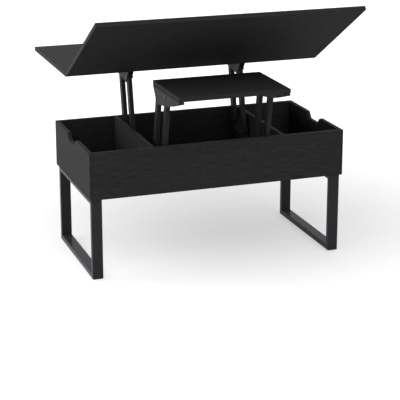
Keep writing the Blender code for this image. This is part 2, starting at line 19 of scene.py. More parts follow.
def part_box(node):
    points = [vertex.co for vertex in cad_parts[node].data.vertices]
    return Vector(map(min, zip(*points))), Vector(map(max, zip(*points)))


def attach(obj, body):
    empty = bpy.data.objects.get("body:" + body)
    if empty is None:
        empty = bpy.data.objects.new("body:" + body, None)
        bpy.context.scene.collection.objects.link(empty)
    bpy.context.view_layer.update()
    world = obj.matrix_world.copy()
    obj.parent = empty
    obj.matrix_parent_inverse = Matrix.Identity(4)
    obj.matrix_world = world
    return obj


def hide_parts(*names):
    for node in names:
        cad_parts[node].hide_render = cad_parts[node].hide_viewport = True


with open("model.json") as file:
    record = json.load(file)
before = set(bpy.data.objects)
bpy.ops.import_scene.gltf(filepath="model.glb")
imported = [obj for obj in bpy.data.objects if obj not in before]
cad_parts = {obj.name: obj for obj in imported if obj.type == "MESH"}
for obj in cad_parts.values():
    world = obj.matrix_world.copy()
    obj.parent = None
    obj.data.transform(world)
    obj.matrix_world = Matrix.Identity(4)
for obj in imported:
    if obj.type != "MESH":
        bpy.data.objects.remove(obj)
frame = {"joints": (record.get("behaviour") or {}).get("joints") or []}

MM = 0.001
MERGE = 0.01 * MM  # points that are nearer than this become one
SMOOTH_ANGLE = radians(35)  # edges that are sharper than this stay sharp in the shading
UP = Vector((0, 0, 1)).freeze()
DOWN = Vector((0, 0, -1)).freeze()
GRAIN_MAP = "grain"  # the boards' UV map
FACING = "facing"  # the attribute that turns a repeated part
MIX_FACTOR, MIX_A, MIX_B, MIX_RESULT = 0, 6, 7, 2  # a Mix node's sockets for colours
RANDOM_LARGEST, RANDOM_RESULT = 3, 1  # a Random Value node's sockets for plain numbers
LOG = logging.getLogger("lift_top_table")

Point = tuple[float, float]
Corner = tuple[float, float, float]  # a point of an outline and the radius that rounds it
Triple = tuple[float, float, float]
Limits = tuple[float, float]
Box = tuple[Vector, Vector]  # the lowest and highest corner
Spot = tuple[Vector, Vector]  # a place, and the way that something faces there


class Side(Enum):
    """The two ends of the table. The value is the sign of X."""

    LEFT = -1
    RIGHT = 1

    @property
    def word(self) -> str:
        """The name that the frame's nodes use."""
        return self.name.lower()


class Body(Enum):
    """The moving bodies that the boards and fittings ride on."""

    BASE = "base"
    MAIN_TOP = "main_top"
    FOLDING_LEAF = "folding_leaf"
    SMALL_TOP = "small_top"


class Axis(Enum):
    """A direction of the frame. The value is its index."""

    X = 0
    Y = 1
    Z = 2


# Node trees


def linear(colour: str) -> tuple[float, float, float, float]:
    """Turns an sRGB hex value into a linear colour.

    Args:
        colour: The value, such as "#1c1c1d".

    Returns:
        Red, green, blue and an alpha of 1.
    """
    parts = [int(colour[i : i + 2], 16) / 255 for i in (1, 3, 5)]
    red, green, blue = (c / 12.92 if c <= 0.04045 else ((c + 0.055) / 1.055) ** 2.4 for c in parts)
    return (red, green, blue, 1.0)


def add_node(
    tree: NodeTree,
    kind: str,
    settings: dict[str, Any] | None = None,
    values: dict[str | int, Any] | None = None,
    links: dict[str | int, NodeSocket] | None = None,
) -> Node:
    """Adds one node to a tree.

    Args:
        tree: The tree that gets the node.
        kind: The node's type.
        settings: The node's own properties, by name.
        values: What its unlinked inputs are set to, by name or number.
        links: The outputs that feed its other inputs, by name or number.

    Returns:
        The new node.
    """
    node = tree.nodes.new(kind)
    for name, value in (settings or {}).items():
        setattr(node, name, value)
    for key, value in (values or {}).items():
        node.inputs[key].default_value = value
    for key, socket in (links or {}).items():
        tree.links.new(socket, node.inputs[key])
    return node


# Finishes


@dataclass(frozen=True)
class Finish(ABC):
    """A surface finish that can be made into a material.

    Attributes:
        name: The material's name.
        slot: The frame's material slot that it is the finish of. It is not used.
    """

    name: str
    slot: str

    RELIEF_STRENGTH: ClassVar[float]

    def material(self) -> Material:
        """Makes the finish's material the first time, and finds it after that.

        Returns:
            The material.
        """
        ready = bpy.data.materials.get(self.name)
        if ready:
            return ready
        material = bpy.data.materials.new(self.name)
        material.use_nodes = True
        self.make(material.node_tree, material.node_tree.nodes["Principled BSDF"])
        return material

    @abstractmethod
    def make(self, tree: NodeTree, shader: Node) -> None:
        """Builds the finish's nodes.

        Args:
            tree: The material's tree.
            shader: Its Principled BSDF.
        """

    def feed(
        self,
        tree: NodeTree,
        shader: Node,
        colour: NodeSocket,
        gloss: NodeSocket,
        height: NodeSocket,
        depth: float,
    ) -> None:
        """Links the finish's patterns to its shader.

        Args:
            tree: The material's tree.
            shader: Its Principled BSDF.
            colour: The base colour.
            gloss: The roughness.
            height: The relief, from 0 to 1.
            depth: How deep a relief of 1 is.
        """
        bump = add_node(
            tree,
            "ShaderNodeBump",
            values={"Strength": self.RELIEF_STRENGTH, "Distance": depth},
            links={"Height": height},
        )
        tree.links.new(colour, shader.inputs["Base Color"])
        tree.links.new(gloss, shader.inputs["Roughness"])
        tree.links.new(bump.outputs["Normal"], shader.inputs["Normal"])


@dataclass(frozen=True)
class Fibres:
    """One layer of a grain: noise that is drawn out along the board.

    Attributes:
        length: How long one fibre is.
        width: How wide it is.
        detail: How many finer layers are added.
    """

    length: float
    width: float
    detail: float

    FALL_OFF: ClassVar[float] = 0.6

    def value(self, tree: NodeTree, place: NodeSocket) -> NodeSocket:
        """Adds the layer to a material.

        Args:
            tree: The material's tree.
            place: The coordinates along and across the grain.

        Returns:
            The noise's value.
        """
        stretched = add_node(
            tree,
            "ShaderNodeMapping",
            values={"Scale": (1 / self.length, 1 / self.width, 1.0)},
            links={"Vector": place},
        )
        noise = add_node(
            tree,
            "ShaderNodeTexNoise",
            values={"Scale": 1.0, "Detail": self.detail, "Roughness": self.FALL_OFF},
            links={"Vector": stretched.outputs["Vector"]},
        )
        return noise.outputs["Fac"]


@dataclass(frozen=True)
class OakMelamine(Finish):
    """Paper printed with an oak grain under melamine, pressed with pores and bonded to particle board.

    The eye gets long dull streaks along the board, short darker pores and hardly any gloss. Real fibres
    are 0.2 mm wide. The streaks are drawn 2.4 mm wide, so that they show from across the room.
    """

    dark: str = "#2b2b2c"
    pale: str = "#3a3a3b"
    pore: str = "#1c1c1c"
    streaks: Fibres = Fibres(60 * MM, 2.4 * MM, 5.0)
    figure: Fibres = Fibres(420 * MM, 26 * MM, 2.0)
    pores: Fibres = Fibres(14 * MM, 0.9 * MM, 2.0)
    wave_length: float = 330 * MM
    wave_height: float = 5 * MM
    pore_depth: float = 0.12 * MM
    roughness: Limits = (0.52, 0.66)
    specular: float = 0.02

    RELIEF_STRENGTH: ClassVar[float] = 0.7
    FIGURE_SHARE: ClassVar[float] = 0.15
    CONTRAST: ClassVar[Limits] = (0.36, 0.62)
    PORE_RIM: ClassVar[Limits] = (0.60, 0.68)
    STREAK_HEIGHT: ClassVar[float] = 0.35

    def make(self, tree: NodeTree, shader: Node) -> None:
        """Builds the nodes on the piece's own UV map, whose U runs along the grain, in metres.

        Args:
            tree: The material's tree.
            shader: Its Principled BSDF.
        """
        place = self.wavy_place(tree)
        streaks = self.streaks.value(tree, place)
        figure = self.figure.value(tree, place)
        pressed = add_node(
            tree,
            "ShaderNodeMapRange",
            {"interpolation_type": "SMOOTHSTEP"},
            {"From Min": self.PORE_RIM[0], "From Max": self.PORE_RIM[1]},
            {"Value": self.pores.value(tree, place)},
        ).outputs["Result"]
        gloss = add_node(
            tree,
            "ShaderNodeMapRange",
            values={"To Min": self.roughness[0], "To Max": self.roughness[1]},
            links={"Value": streaks},
        ).outputs["Result"]
        ground = add_node(
            tree, "ShaderNodeMath", {"operation": "SUBTRACT"}, {0: 1.0}, {1: pressed}
        ).outputs["Value"]
        height = add_node(
            tree,
            "ShaderNodeMath",
            {"operation": "MULTIPLY_ADD"},
            {1: self.STREAK_HEIGHT},
            {0: streaks, 2: ground},
        ).outputs["Value"]
        shader.inputs["Specular IOR Level"].default_value = self.specular
        colour = self.print_of(tree, streaks, figure, pressed)
        self.feed(tree, shader, colour, gloss, height, self.pore_depth)

    def wavy_place(self, tree: NodeTree) -> NodeSocket:
        """Adds the coordinates of the grain, which sways slowly across the board.

        Args:
            tree: The material's tree.

        Returns:
            The coordinates.
        """
        place = add_node(tree, "ShaderNodeUVMap", {"uv_map": GRAIN_MAP}).outputs["UV"]
        wave = add_node(
            tree,
            "ShaderNodeTexNoise",
            values={"Scale": 1 / self.wave_length, "Detail": 1.0},
            links={"Vector": place},
        )
        return add_node(
            tree,
            "ShaderNodeVectorMath",
            {"operation": "MULTIPLY_ADD"},
            {1: (0.0, self.wave_height, 0.0)},
            {0: wave.outputs["Color"], 2: place},
        ).outputs["Vector"]

    def print_of(
        self,
        tree: NodeTree,
        streaks: NodeSocket,
        figure: NodeSocket,
        pressed: NodeSocket,
    ) -> NodeSocket:
        """Adds the printed colours.

        Args:
            tree: The material's tree.
            streaks: The grain's streaks.
            figure: Its broad figure.
            pressed: 1 in a pore, and 0 elsewhere.

        Returns:
            The colour.
        """
        broad = add_node(
            tree, "ShaderNodeMath", {"operation": "MULTIPLY"}, {1: self.FIGURE_SHARE}, {0: figure}
        ).outputs["Value"]
        mottle = add_node(
            tree,
            "ShaderNodeMath",
            {"operation": "MULTIPLY_ADD"},
            {1: 1 - self.FIGURE_SHARE},
            {0: streaks, 2: broad},
        ).outputs["Value"]
        spread = add_node(
            tree,
            "ShaderNodeMapRange",
            {"interpolation_type": "SMOOTHSTEP"},
            {"From Min": self.CONTRAST[0], "From Max": self.CONTRAST[1]},
            {"Value": mottle},
        ).outputs["Result"]
        ground = add_node(
            tree,
            "ShaderNodeMix",
            {"data_type": "RGBA"},
            {MIX_A: linear(self.dark), MIX_B: linear(self.pale)},
            {MIX_FACTOR: spread},
        ).outputs[MIX_RESULT]
        return add_node(
            tree,
            "ShaderNodeMix",
            {"data_type": "RGBA"},
            {MIX_B: linear(self.pore)},
            {MIX_FACTOR: pressed, MIX_A: ground},
        ).outputs[MIX_RESULT]


@dataclass(frozen=True)
class MottledFinish(Finish):
    """A finish whose tint and gloss drift slowly over the piece, with a fine relief.

    Attributes:
        colour: Its main colour.
        second: The colour that it drifts to.
        patch: From one patch of a colour to the next.
        relief: From one bump of the relief to the next.
        relief_depth: How deep the relief is.
        roughness: Its least and most roughness.
        specular: How strong its gloss is.
        metallic: How far it is bare metal.
    """

    colour: str
    second: str
    patch: float
    relief: float
    relief_depth: float
    roughness: Limits
    specular: float = 0.5
    metallic: float = 0.0

    RELIEF_STRENGTH: ClassVar[float] = 0.6
    PATCH_DETAIL: ClassVar[float] = 3.0
    RELIEF_DETAIL: ClassVar[float] = 1.0
    RELIEF_TWIST: ClassVar[float] = 0.0
    PATCH_RANGE: ClassVar[Limits] = (0.3, 0.7)

    def make(self, tree: NodeTree, shader: Node) -> None:
        """Builds the nodes on Object coordinates.

        Args:
            tree: The material's tree.
            shader: Its Principled BSDF.
        """
        place = add_node(tree, "ShaderNodeTexCoord").outputs["Object"]
        patches, relief = (
            add_node(
                tree,
                "ShaderNodeTexNoise",
                values={"Scale": 1 / size, "Detail": detail, "Distortion": twist},
                links={"Vector": place},
            ).outputs["Fac"]
            for size, detail, twist in (
                (self.patch, self.PATCH_DETAIL, 0.0),
                (self.relief, self.RELIEF_DETAIL, self.RELIEF_TWIST),
            )
        )
        colour = add_node(
            tree,
            "ShaderNodeMix",
            {"data_type": "RGBA"},
            {MIX_A: linear(self.colour), MIX_B: linear(self.second)},
            {MIX_FACTOR: patches},
        ).outputs[MIX_RESULT]
        gloss = add_node(
            tree,
            "ShaderNodeMapRange",
            values={
                "From Min": self.PATCH_RANGE[0],
                "From Max": self.PATCH_RANGE[1],
                "To Min": self.roughness[0],
                "To Max": self.roughness[1],
            },
            links={"Value": patches},
        ).outputs["Result"]
        shader.inputs["Specular IOR Level"].default_value = self.specular
        shader.inputs["Metallic"].default_value = self.metallic
        self.feed(tree, shader, colour, gloss, relief, self.relief_depth)


@dataclass(frozen=True)
class PowderCoat(MottledFinish):
    """Polyester powder sprayed on steel and baked. The eye gets an even satin and faint orange peel."""

    colour: str = "#323437"
    second: str = "#37393d"
    patch: float = 60 * MM
    relief: float = 1.6 * MM
    relief_depth: float = 0.03 * MM
    roughness: Limits = (0.22, 0.28)
    specular: float = 0.045


@dataclass(frozen=True)
class DipCoat(MottledFinish):
    """Paint that sheet steel is dipped in, then baked. The eye gets a thin coat, duller than powder."""

    colour: str = "#333335"
    second: str = "#3b3b3e"
    patch: float = 35 * MM
    relief: float = 2.4 * MM
    relief_depth: float = 0.02 * MM
    roughness: Limits = (0.3, 0.4)
    specular: float = 0.016


@dataclass(frozen=True)
class MouldedNylon(MottledFinish):
    """Nylon moulded against an eroded steel face. The eye gets a matt, faintly grained black."""

    colour: str = "#1d1d1e"
    second: str = "#232324"
    patch: float = 60 * MM
    relief: float = 0.9 * MM
    relief_depth: float = 0.03 * MM
    roughness: Limits = (0.5, 0.6)
    specular: float = 0.045


@dataclass(frozen=True)
class PlatedMetal(MottledFinish):
    """Metal with a thin plated coat. The eye gets its tint, with duller patches where it was handled."""

    colour: str = "#2a2a2c"
    second: str = "#38383b"
    patch: float = 9 * MM
    relief: float = 0.7 * MM
    relief_depth: float = 0.015 * MM
    roughness: Limits = (0.3, 0.45)
    metallic: float = 1.0

    RELIEF_STRENGTH: ClassVar[float] = 0.5
    PATCH_DETAIL: ClassVar[float] = 4.0
    RELIEF_DETAIL: ClassVar[float] = 2.0
    RELIEF_TWIST: ClassVar[float] = 0.4


BOARD_FACE = OakMelamine("black_oak_melamine", "black_woodgrain_board")
EDGE_BAND = OakMelamine(
    "black_oak_edge_band",
    "black_woodgrain_board",
    pale="#38383a",
    streaks=Fibres(60 * MM, 2.2 * MM, 5.0),
    pore_depth=0.05 * MM,
    roughness=(0.5, 0.6),
    specular=0.03,
)
LEG_COAT = PowderCoat("black_polyester_powder_coat", "black_powder_coat")
LIFT_COAT = DipCoat("black_dipped_steel", "black_lift_steel")
NYLON = MouldedNylon("moulded_black_nylon", "black_plastic")
RIVET_STEEL = PlatedMetal("blackened_rivet_steel", "black_rivet_steel", metallic=0.7)
SCREW_STEEL = PlatedMetal(
    "black_zinc_screw_steel", "black_rivet_steel", colour="#232325", second="#3a3a3d"
)
BRASS = PlatedMetal(
    "brass_plated_steel",
    "brass",
    colour="#c39a45",
    second="#a98238",
    patch=14 * MM,
    roughness=(0.22, 0.36),
)


# Shapes


def rounded(corners: Sequence[Corner], steps: int = 6) -> list[Point]:
    """Makes a closed outline with round corners.

    Args:
        corners: Two coordinates and a radius for each corner.
        steps: How many straight lines stand for one corner's arc.

    Returns:
        The outline's points in order.
    """
    outline: list[Vector] = []
    for i, (u, v, radius) in enumerate(corners):
        corner = Vector((u, v))
        if radius == 0:
            outline.append(corner)
            continue
        before = (Vector(corners[i - 1][:2]) - corner).normalized()
        after = (Vector(corners[(i + 1) % len(corners)][:2]) - corner).normalized()
        reach = radius / tan(before.angle(after) / 2)
        centre = corner + (before + after).normalized() * hypot(radius, reach)
        first, last = corner + before * reach - centre, corner + after * reach - centre
        start = atan2(first.y, first.x)
        sweep = (atan2(last.y, last.x) - start + pi) % (2 * pi) - pi
        turns = [start + sweep * k / steps for k in range(steps + 1)]
        outline += [centre + radius * Vector((cos(turn), sin(turn))) for turn in turns]
    return [tuple(p) for i, p in enumerate(outline) if (p - outline[i - 1]).length > MERGE]


def mesh_of(form: BMesh, face_out: bool = False) -> Mesh:
    """Turns an edit mesh into a mesh and frees it.

    Args:
        form: The edit mesh.
        face_out: Whether its faces are turned outwards first.

    Returns:
        The mesh.
    """
    if face_out:
        bmesh.ops.recalc_face_normals(form, faces=form.faces)
    mesh = bpy.data.meshes.new("shape")
    form.to_mesh(mesh)
    form.free()
    return mesh


def shifted(form: BMesh, drawn: Iterable[Any], shift: Triple) -> list[BMVert]:
    """Moves the points that an extrusion has drawn out.

    Args:
        form: The edit mesh.
        drawn: All that the extrusion has made.
        shift: How far the points move.

    Returns:
        The points.
    """
    ends = [item for item in drawn if isinstance(item, BMVert)]
    bmesh.ops.translate(form, verts=ends, vec=shift)
    return ends


def box_mesh(boxes: Iterable[Box]) -> Mesh:
    """Makes separate boxes.

    Args:
        boxes: The low and high corner of each.

    Returns:
        The boxes' mesh.
    """
    form = bmesh.new()
    for low, high in boxes:
        place = Matrix.Translation((low + high) / 2) @ Matrix.Diagonal((*(high - low), 1))
        bmesh.ops.create_cube(form, size=1, matrix=place)
    return mesh_of(form)


def rod_mesh(
    starts: Iterable[Vector], length: float, radius: float, axis: Axis, sides: int = 32
) -> Mesh:
    """Makes separate round rods.

    Args:
        starts: The middle of each rod's first end.
        length: The rods' length along the axis.
        radius: Their radius.
        axis: The axis they lie along, which is X or Z.
        sides: How many sides a rod has.

    Returns:
        The rods' mesh.
    """
    turn = Matrix.Rotation(pi / 2, 4, "Y") if axis is Axis.X else Matrix.Identity(4)
    form = bmesh.new()
    for start in starts:
        place = Matrix.Translation(start) @ turn @ Matrix.Translation((0, 0, length / 2))
        ends = {"radius1": radius, "radius2": radius, "cap_ends": True}
        bmesh.ops.create_cone(form, segments=sides, depth=length, matrix=place, **ends)
    return mesh_of(form)


def prism_mesh(outline: Sequence[Point], x_from: float, x_to: float) -> Mesh:
    """Makes an outline in the YZ plane solid between two X values.

    Args:
        outline: The outline's Y and Z values.
        x_from: X of its first end.
        x_to: X of its other end.

    Returns:
        The prism's mesh.
    """
    form = bmesh.new()
    face = form.faces.new([form.verts.new((x_from, u, v)) for u, v in outline])
    drawn = bmesh.ops.extrude_face_region(form, geom=[face])["geom"]
    shifted(form, drawn, (x_to - x_from, 0, 0))
    return mesh_of(form, face_out=True)


def lathe_mesh(profile: Sequence[Point], sides: int = 32) -> Mesh:
    """Turns a profile about Z.

    Args:
        profile: Its radii and heights, of which the first and the last lie on the axis.
        sides: How many sides the shape has.

    Returns:
        The turned mesh.
    """
    form = bmesh.new()
    verts = [form.verts.new((radius, 0, height)) for radius, height in profile]
    edges = [form.edges.new(pair) for pair in zip(verts, verts[1:])]
    bmesh.ops.spin(form, geom=[*verts, *edges], axis=UP, cent=(0, 0, 0), steps=sides, angle=2 * pi)
    bmesh.ops.remove_doubles(form, verts=form.verts, dist=MERGE)
    return mesh_of(form, face_out=True)


@dataclass(frozen=True)
class Fold:
    """Strips folded off a plate's rim, one after the other.

    Attributes:
        picks: Says of an edge, from the Y and Z of its middle, whether it is folded.
        strips: How far and which way each strip is drawn.
    """

    picks: Callable[[float, float], bool]
    strips: Sequence[Triple]


def folded_skin(outline: Sequence[Point], x: float, facing: int, folds: Sequence[Fold]) -> Mesh:
    """Makes the outer faces of a folded sheet part.

    Args:
        outline: The main plate in the YZ plane.
        x: Where the plate stands.
        facing: The sign of X that the plate faces.
        folds: The strips that are folded off its rim.

    Returns:
        The skin's mesh.
    """
    form = bmesh.new()
    form.faces.new([form.verts.new((x, u, v)) for u, v in outline])
    rim = list(form.edges)
    for fold in folds:
        middles = [(edge, (edge.verts[0].co + edge.verts[1].co) / 2) for edge in rim]
        edges = [edge for edge, middle in middles if fold.picks(middle.y, middle.z)]
        for strip in fold.strips:
            drawn = bmesh.ops.extrude_edge_only(form, edges=edges)["geom"]
            ends = shifted(form, drawn, strip)
            edges = [edge for edge in form.edges if edge.verts[0] in ends and edge.verts[1] in ends]
    bmesh.ops.remove_doubles(form, verts=form.verts, dist=MERGE)
    bmesh.ops.recalc_face_normals(form, faces=form.faces)
    form.normal_update()
    if max(form.faces, key=lambda face: face.calc_area()).normal.x * facing < 0:
        bmesh.ops.reverse_faces(form, faces=form.faces)
    return mesh_of(form)


def shade_smooth(mesh: Mesh) -> None:
    """Shades a mesh smooth, apart from its sharp edges."""
    mesh.shade_smooth()
    mesh.set_sharp_from_angle(angle=SMOOTH_ANGLE)


def add_object(name: str, data: ID) -> Object:
    """Puts an object into the scene.

    Args:
        name: Its name.
        data: Its mesh, lamp or camera.

    Returns:
        The new object.
    """
    item = bpy.data.objects.new(name, data)
    bpy.context.scene.collection.objects.link(item)
    return item


class Piece:
    """One visible piece while it is being made."""

    def __init__(self, name: str, mesh: Mesh) -> None:
        """Takes the piece's first mesh.

        Args:
            name: The piece's name.
            mesh: Its mesh in the frame's coordinates, or in those of its own part.
        """
        mesh.name = name
        self.item = add_object(name, mesh)
        self.tools: list[Object] = []

    def shaped(self, kind: str, **settings: Any) -> "Piece":
        """Adds a modifier.

        Args:
            kind: The modifier's type.
            **settings: Its properties.

        Returns:
            The piece itself.
        """
        step = self.item.modifiers.new(kind.lower(), kind)
        for name, value in settings.items():
            setattr(step, name, value)
        return self

    def cut(self, mesh: Mesh, operation: str = "DIFFERENCE") -> "Piece":
        """Cuts the piece with a closed mesh, or joins the two.

        Args:
            mesh: The tool's shape.
            operation: The Boolean operation.

        Returns:
            The piece itself.
        """
        tool = add_object("tool", mesh)
        self.tools.append(tool)
        return self.shaped("BOOLEAN", operation=operation, solver="EXACT", object=tool)

    def eased(self, width: float, segments: int, above: float) -> "Piece":
        """Rounds the sharp edges.

        Args:
            width: How far the rounding reaches.
            segments: How many faces it has.
            above: The angle over which an edge is rounded.

        Returns:
            The piece itself.
        """
        return self.shaped(
            "BEVEL",
            width=width,
            segments=segments,
            limit_method="ANGLE",
            angle_limit=above,
            use_clamp_overlap=True,
        )

    def settled(self) -> "Piece":
        """Turns what the modifiers show into the piece's own mesh.

        Returns:
            The piece itself.
        """
        graph = bpy.context.evaluated_depsgraph_get()
        mesh = bpy.data.meshes.new_from_object(self.item.evaluated_get(graph))
        self.item.modifiers.clear()
        self.item.data = mesh
        mesh.name = self.item.name
        for tool in self.tools:
            bpy.data.objects.remove(tool)
        self.tools.clear()
        return self

    def placed(self, place: Matrix) -> "Piece":
        """Moves the mesh, and turns its faces back out where the move mirrors them.

        Args:
            place: The move.

        Returns:
            The piece itself.
        """
        self.item.data.transform(place)
        if place.determinant() < 0:
            self.item.data.flip_normals()
        return self

    def smooth(self) -> "Piece":
        """Shades the piece smooth, and lets its large faces stay flat."""
        shade_smooth(self.item.data)
        return self.shaped("WEIGHTED_NORMAL", mode="FACE_AREA", weight=100, keep_sharp=True).settled()

    def loose_mesh(self) -> Mesh:
        """Settles the piece and keeps only its mesh, as a part that is repeated.

        Returns:
            The mesh.
        """
        mesh = self.settled().item.data
        bpy.data.objects.remove(self.item)
        return mesh

    def finished(self, finish: Finish, body: Body | str, *nodes: str) -> Object:
        """Gives the piece its finish and its body.

        Args:
            finish: What its surface is.
            body: The body it moves with.
            *nodes: The frame's nodes that it stands for.

        Returns:
            The finished object.
        """
        if not self.item.data.materials:
            self.item.data.materials.append(finish.material())
        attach(self.item, body.value if isinstance(body, Body) else body)
        if nodes:
            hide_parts(*nodes)
        return self.item


# Boards


@dataclass
class Board:
    """A board of melamine-faced particle board with banded edges.

    Attributes:
        name: The node that the board stands for.
        low: Its lowest corner.
        high: Its highest corner.
        grain: The axis along which the grain runs.
        thin: The axis of its thickness.
        seed: Where on the printed paper it was cut from.
        outline: Its outline in the YZ plane, where it isn't a plain rectangle.
        pockets: Boxes that are cut out of it.
        place: A turn and shift that the finished board gets.
    """

    name: str
    low: Vector
    high: Vector
    grain: Axis
    thin: Axis
    seed: int
    outline: Sequence[Point] = ()
    pockets: Sequence[Box] = ()
    place: Matrix = field(default_factory=lambda: Matrix.Identity(4))

    EDGE: ClassVar[float] = 0.6 * MM
    EDGE_ANGLE: ClassVar[float] = radians(40)
    SHEET_STEP: ClassVar[Point] = (0.613, 0.271)
    FACE_ON: ClassVar[float] = 0.95

    def build(self, body: Body) -> Object:
        """Makes the board.

        Args:
            body: The body that it moves with.

        Returns:
            The finished object.
        """
        if self.outline:
            mesh = prism_mesh(self.outline, self.low.x, self.high.x)
        else:
            mesh = box_mesh([(self.low, self.high)])
        piece = Piece(f"{self.name}_board", mesh)
        if self.pockets:
            piece.cut(box_mesh(self.pockets))
        piece.eased(self.EDGE, segments=2, above=self.EDGE_ANGLE).settled()
        self.lay_paper(piece.item.data)
        return piece.placed(self.place).smooth().finished(BOARD_FACE, body, self.name)

    def lay_paper(self, mesh: Mesh) -> None:
        """Gives the faces their finish, and a UV map in metres whose U runs along the grain.

        Args:
            mesh: The board's mesh, before it is placed.
        """
        for finish in (BOARD_FACE, EDGE_BAND):
            mesh.materials.append(finish.material())
        grain, thin = self.grain.value, self.thin.value
        wide = next(axis.value for axis in Axis if axis not in (self.grain, self.thin))
        form = bmesh.new()
        form.from_mesh(mesh)
        layer = form.loops.layers.uv.new(GRAIN_MAP)
        start_u, start_v = (step * self.seed for step in self.SHEET_STEP)
        for face in form.faces:
            normal = [abs(part) for part in face.normal]
            side = normal.index(max(normal))
            along = wide if side == grain else grain
            across = wide if side == thin else thin
            face.material_index = 0 if normal[thin] > self.FACE_ON else 1
            for loop in face.loops:
                loop[layer].uv = (loop.vert.co[along] + start_u, loop.vert.co[across] + start_v + side)
        form.to_mesh(mesh)
        form.free()


@dataclass
class StorageBox:
    """The open box: four walls, a floor and two dividers."""

    notch_width: float = 124 * MM
    notch_depth: float = 25 * MM
    notch_slope: float = radians(52)
    rim_radius: float = 10 * MM
    floor_radius: float = 12 * MM

    def build(self) -> None:
        """Makes the seven boards."""
        seeds = iter(range(1, 8))
        for name in ("front_panel", "back_panel"):
            Board(name, *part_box(name), Axis.X, Axis.Y, next(seeds)).build(Body.BASE)
        Board("floor_panel", *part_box("floor_panel"), Axis.X, Axis.Z, next(seeds)).build(Body.BASE)
        for side in Side:
            name = f"{side.word}_divider"
            Board(name, *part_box(name), Axis.Y, Axis.X, next(seeds)).build(Body.BASE)
            name = f"{side.word}_side_panel"
            low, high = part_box(name)
            outline = self.notched(low, high)
            Board(name, low, high, Axis.Y, Axis.X, next(seeds), outline).build(Body.BASE)

    def notched(self, low: Vector, high: Vector) -> list[Point]:
        """Draws a side panel's outline, with the hand notch in its rim.

        Args:
            low: The panel's lowest corner.
            high: Its highest corner.

        Returns:
            The outline's Y and Z values.
        """
        middle, half_rim = (low.y + high.y) / 2, self.notch_width / 2
        half_floor = half_rim - self.notch_depth / tan(self.notch_slope)
        floor = high.z - self.notch_depth
        return rounded(
            [
                (low.y, low.z, 0),
                (high.y, low.z, 0),
                (high.y, high.z, 0),
                (middle + half_rim, high.z, self.rim_radius),
                (middle + half_floor, floor, self.floor_radius),
                (middle - half_floor, floor, self.floor_radius),
                (middle - half_rim, high.z, self.rim_radius),
                (low.y, high.z, 0),
            ]
        )


# Repeated parts


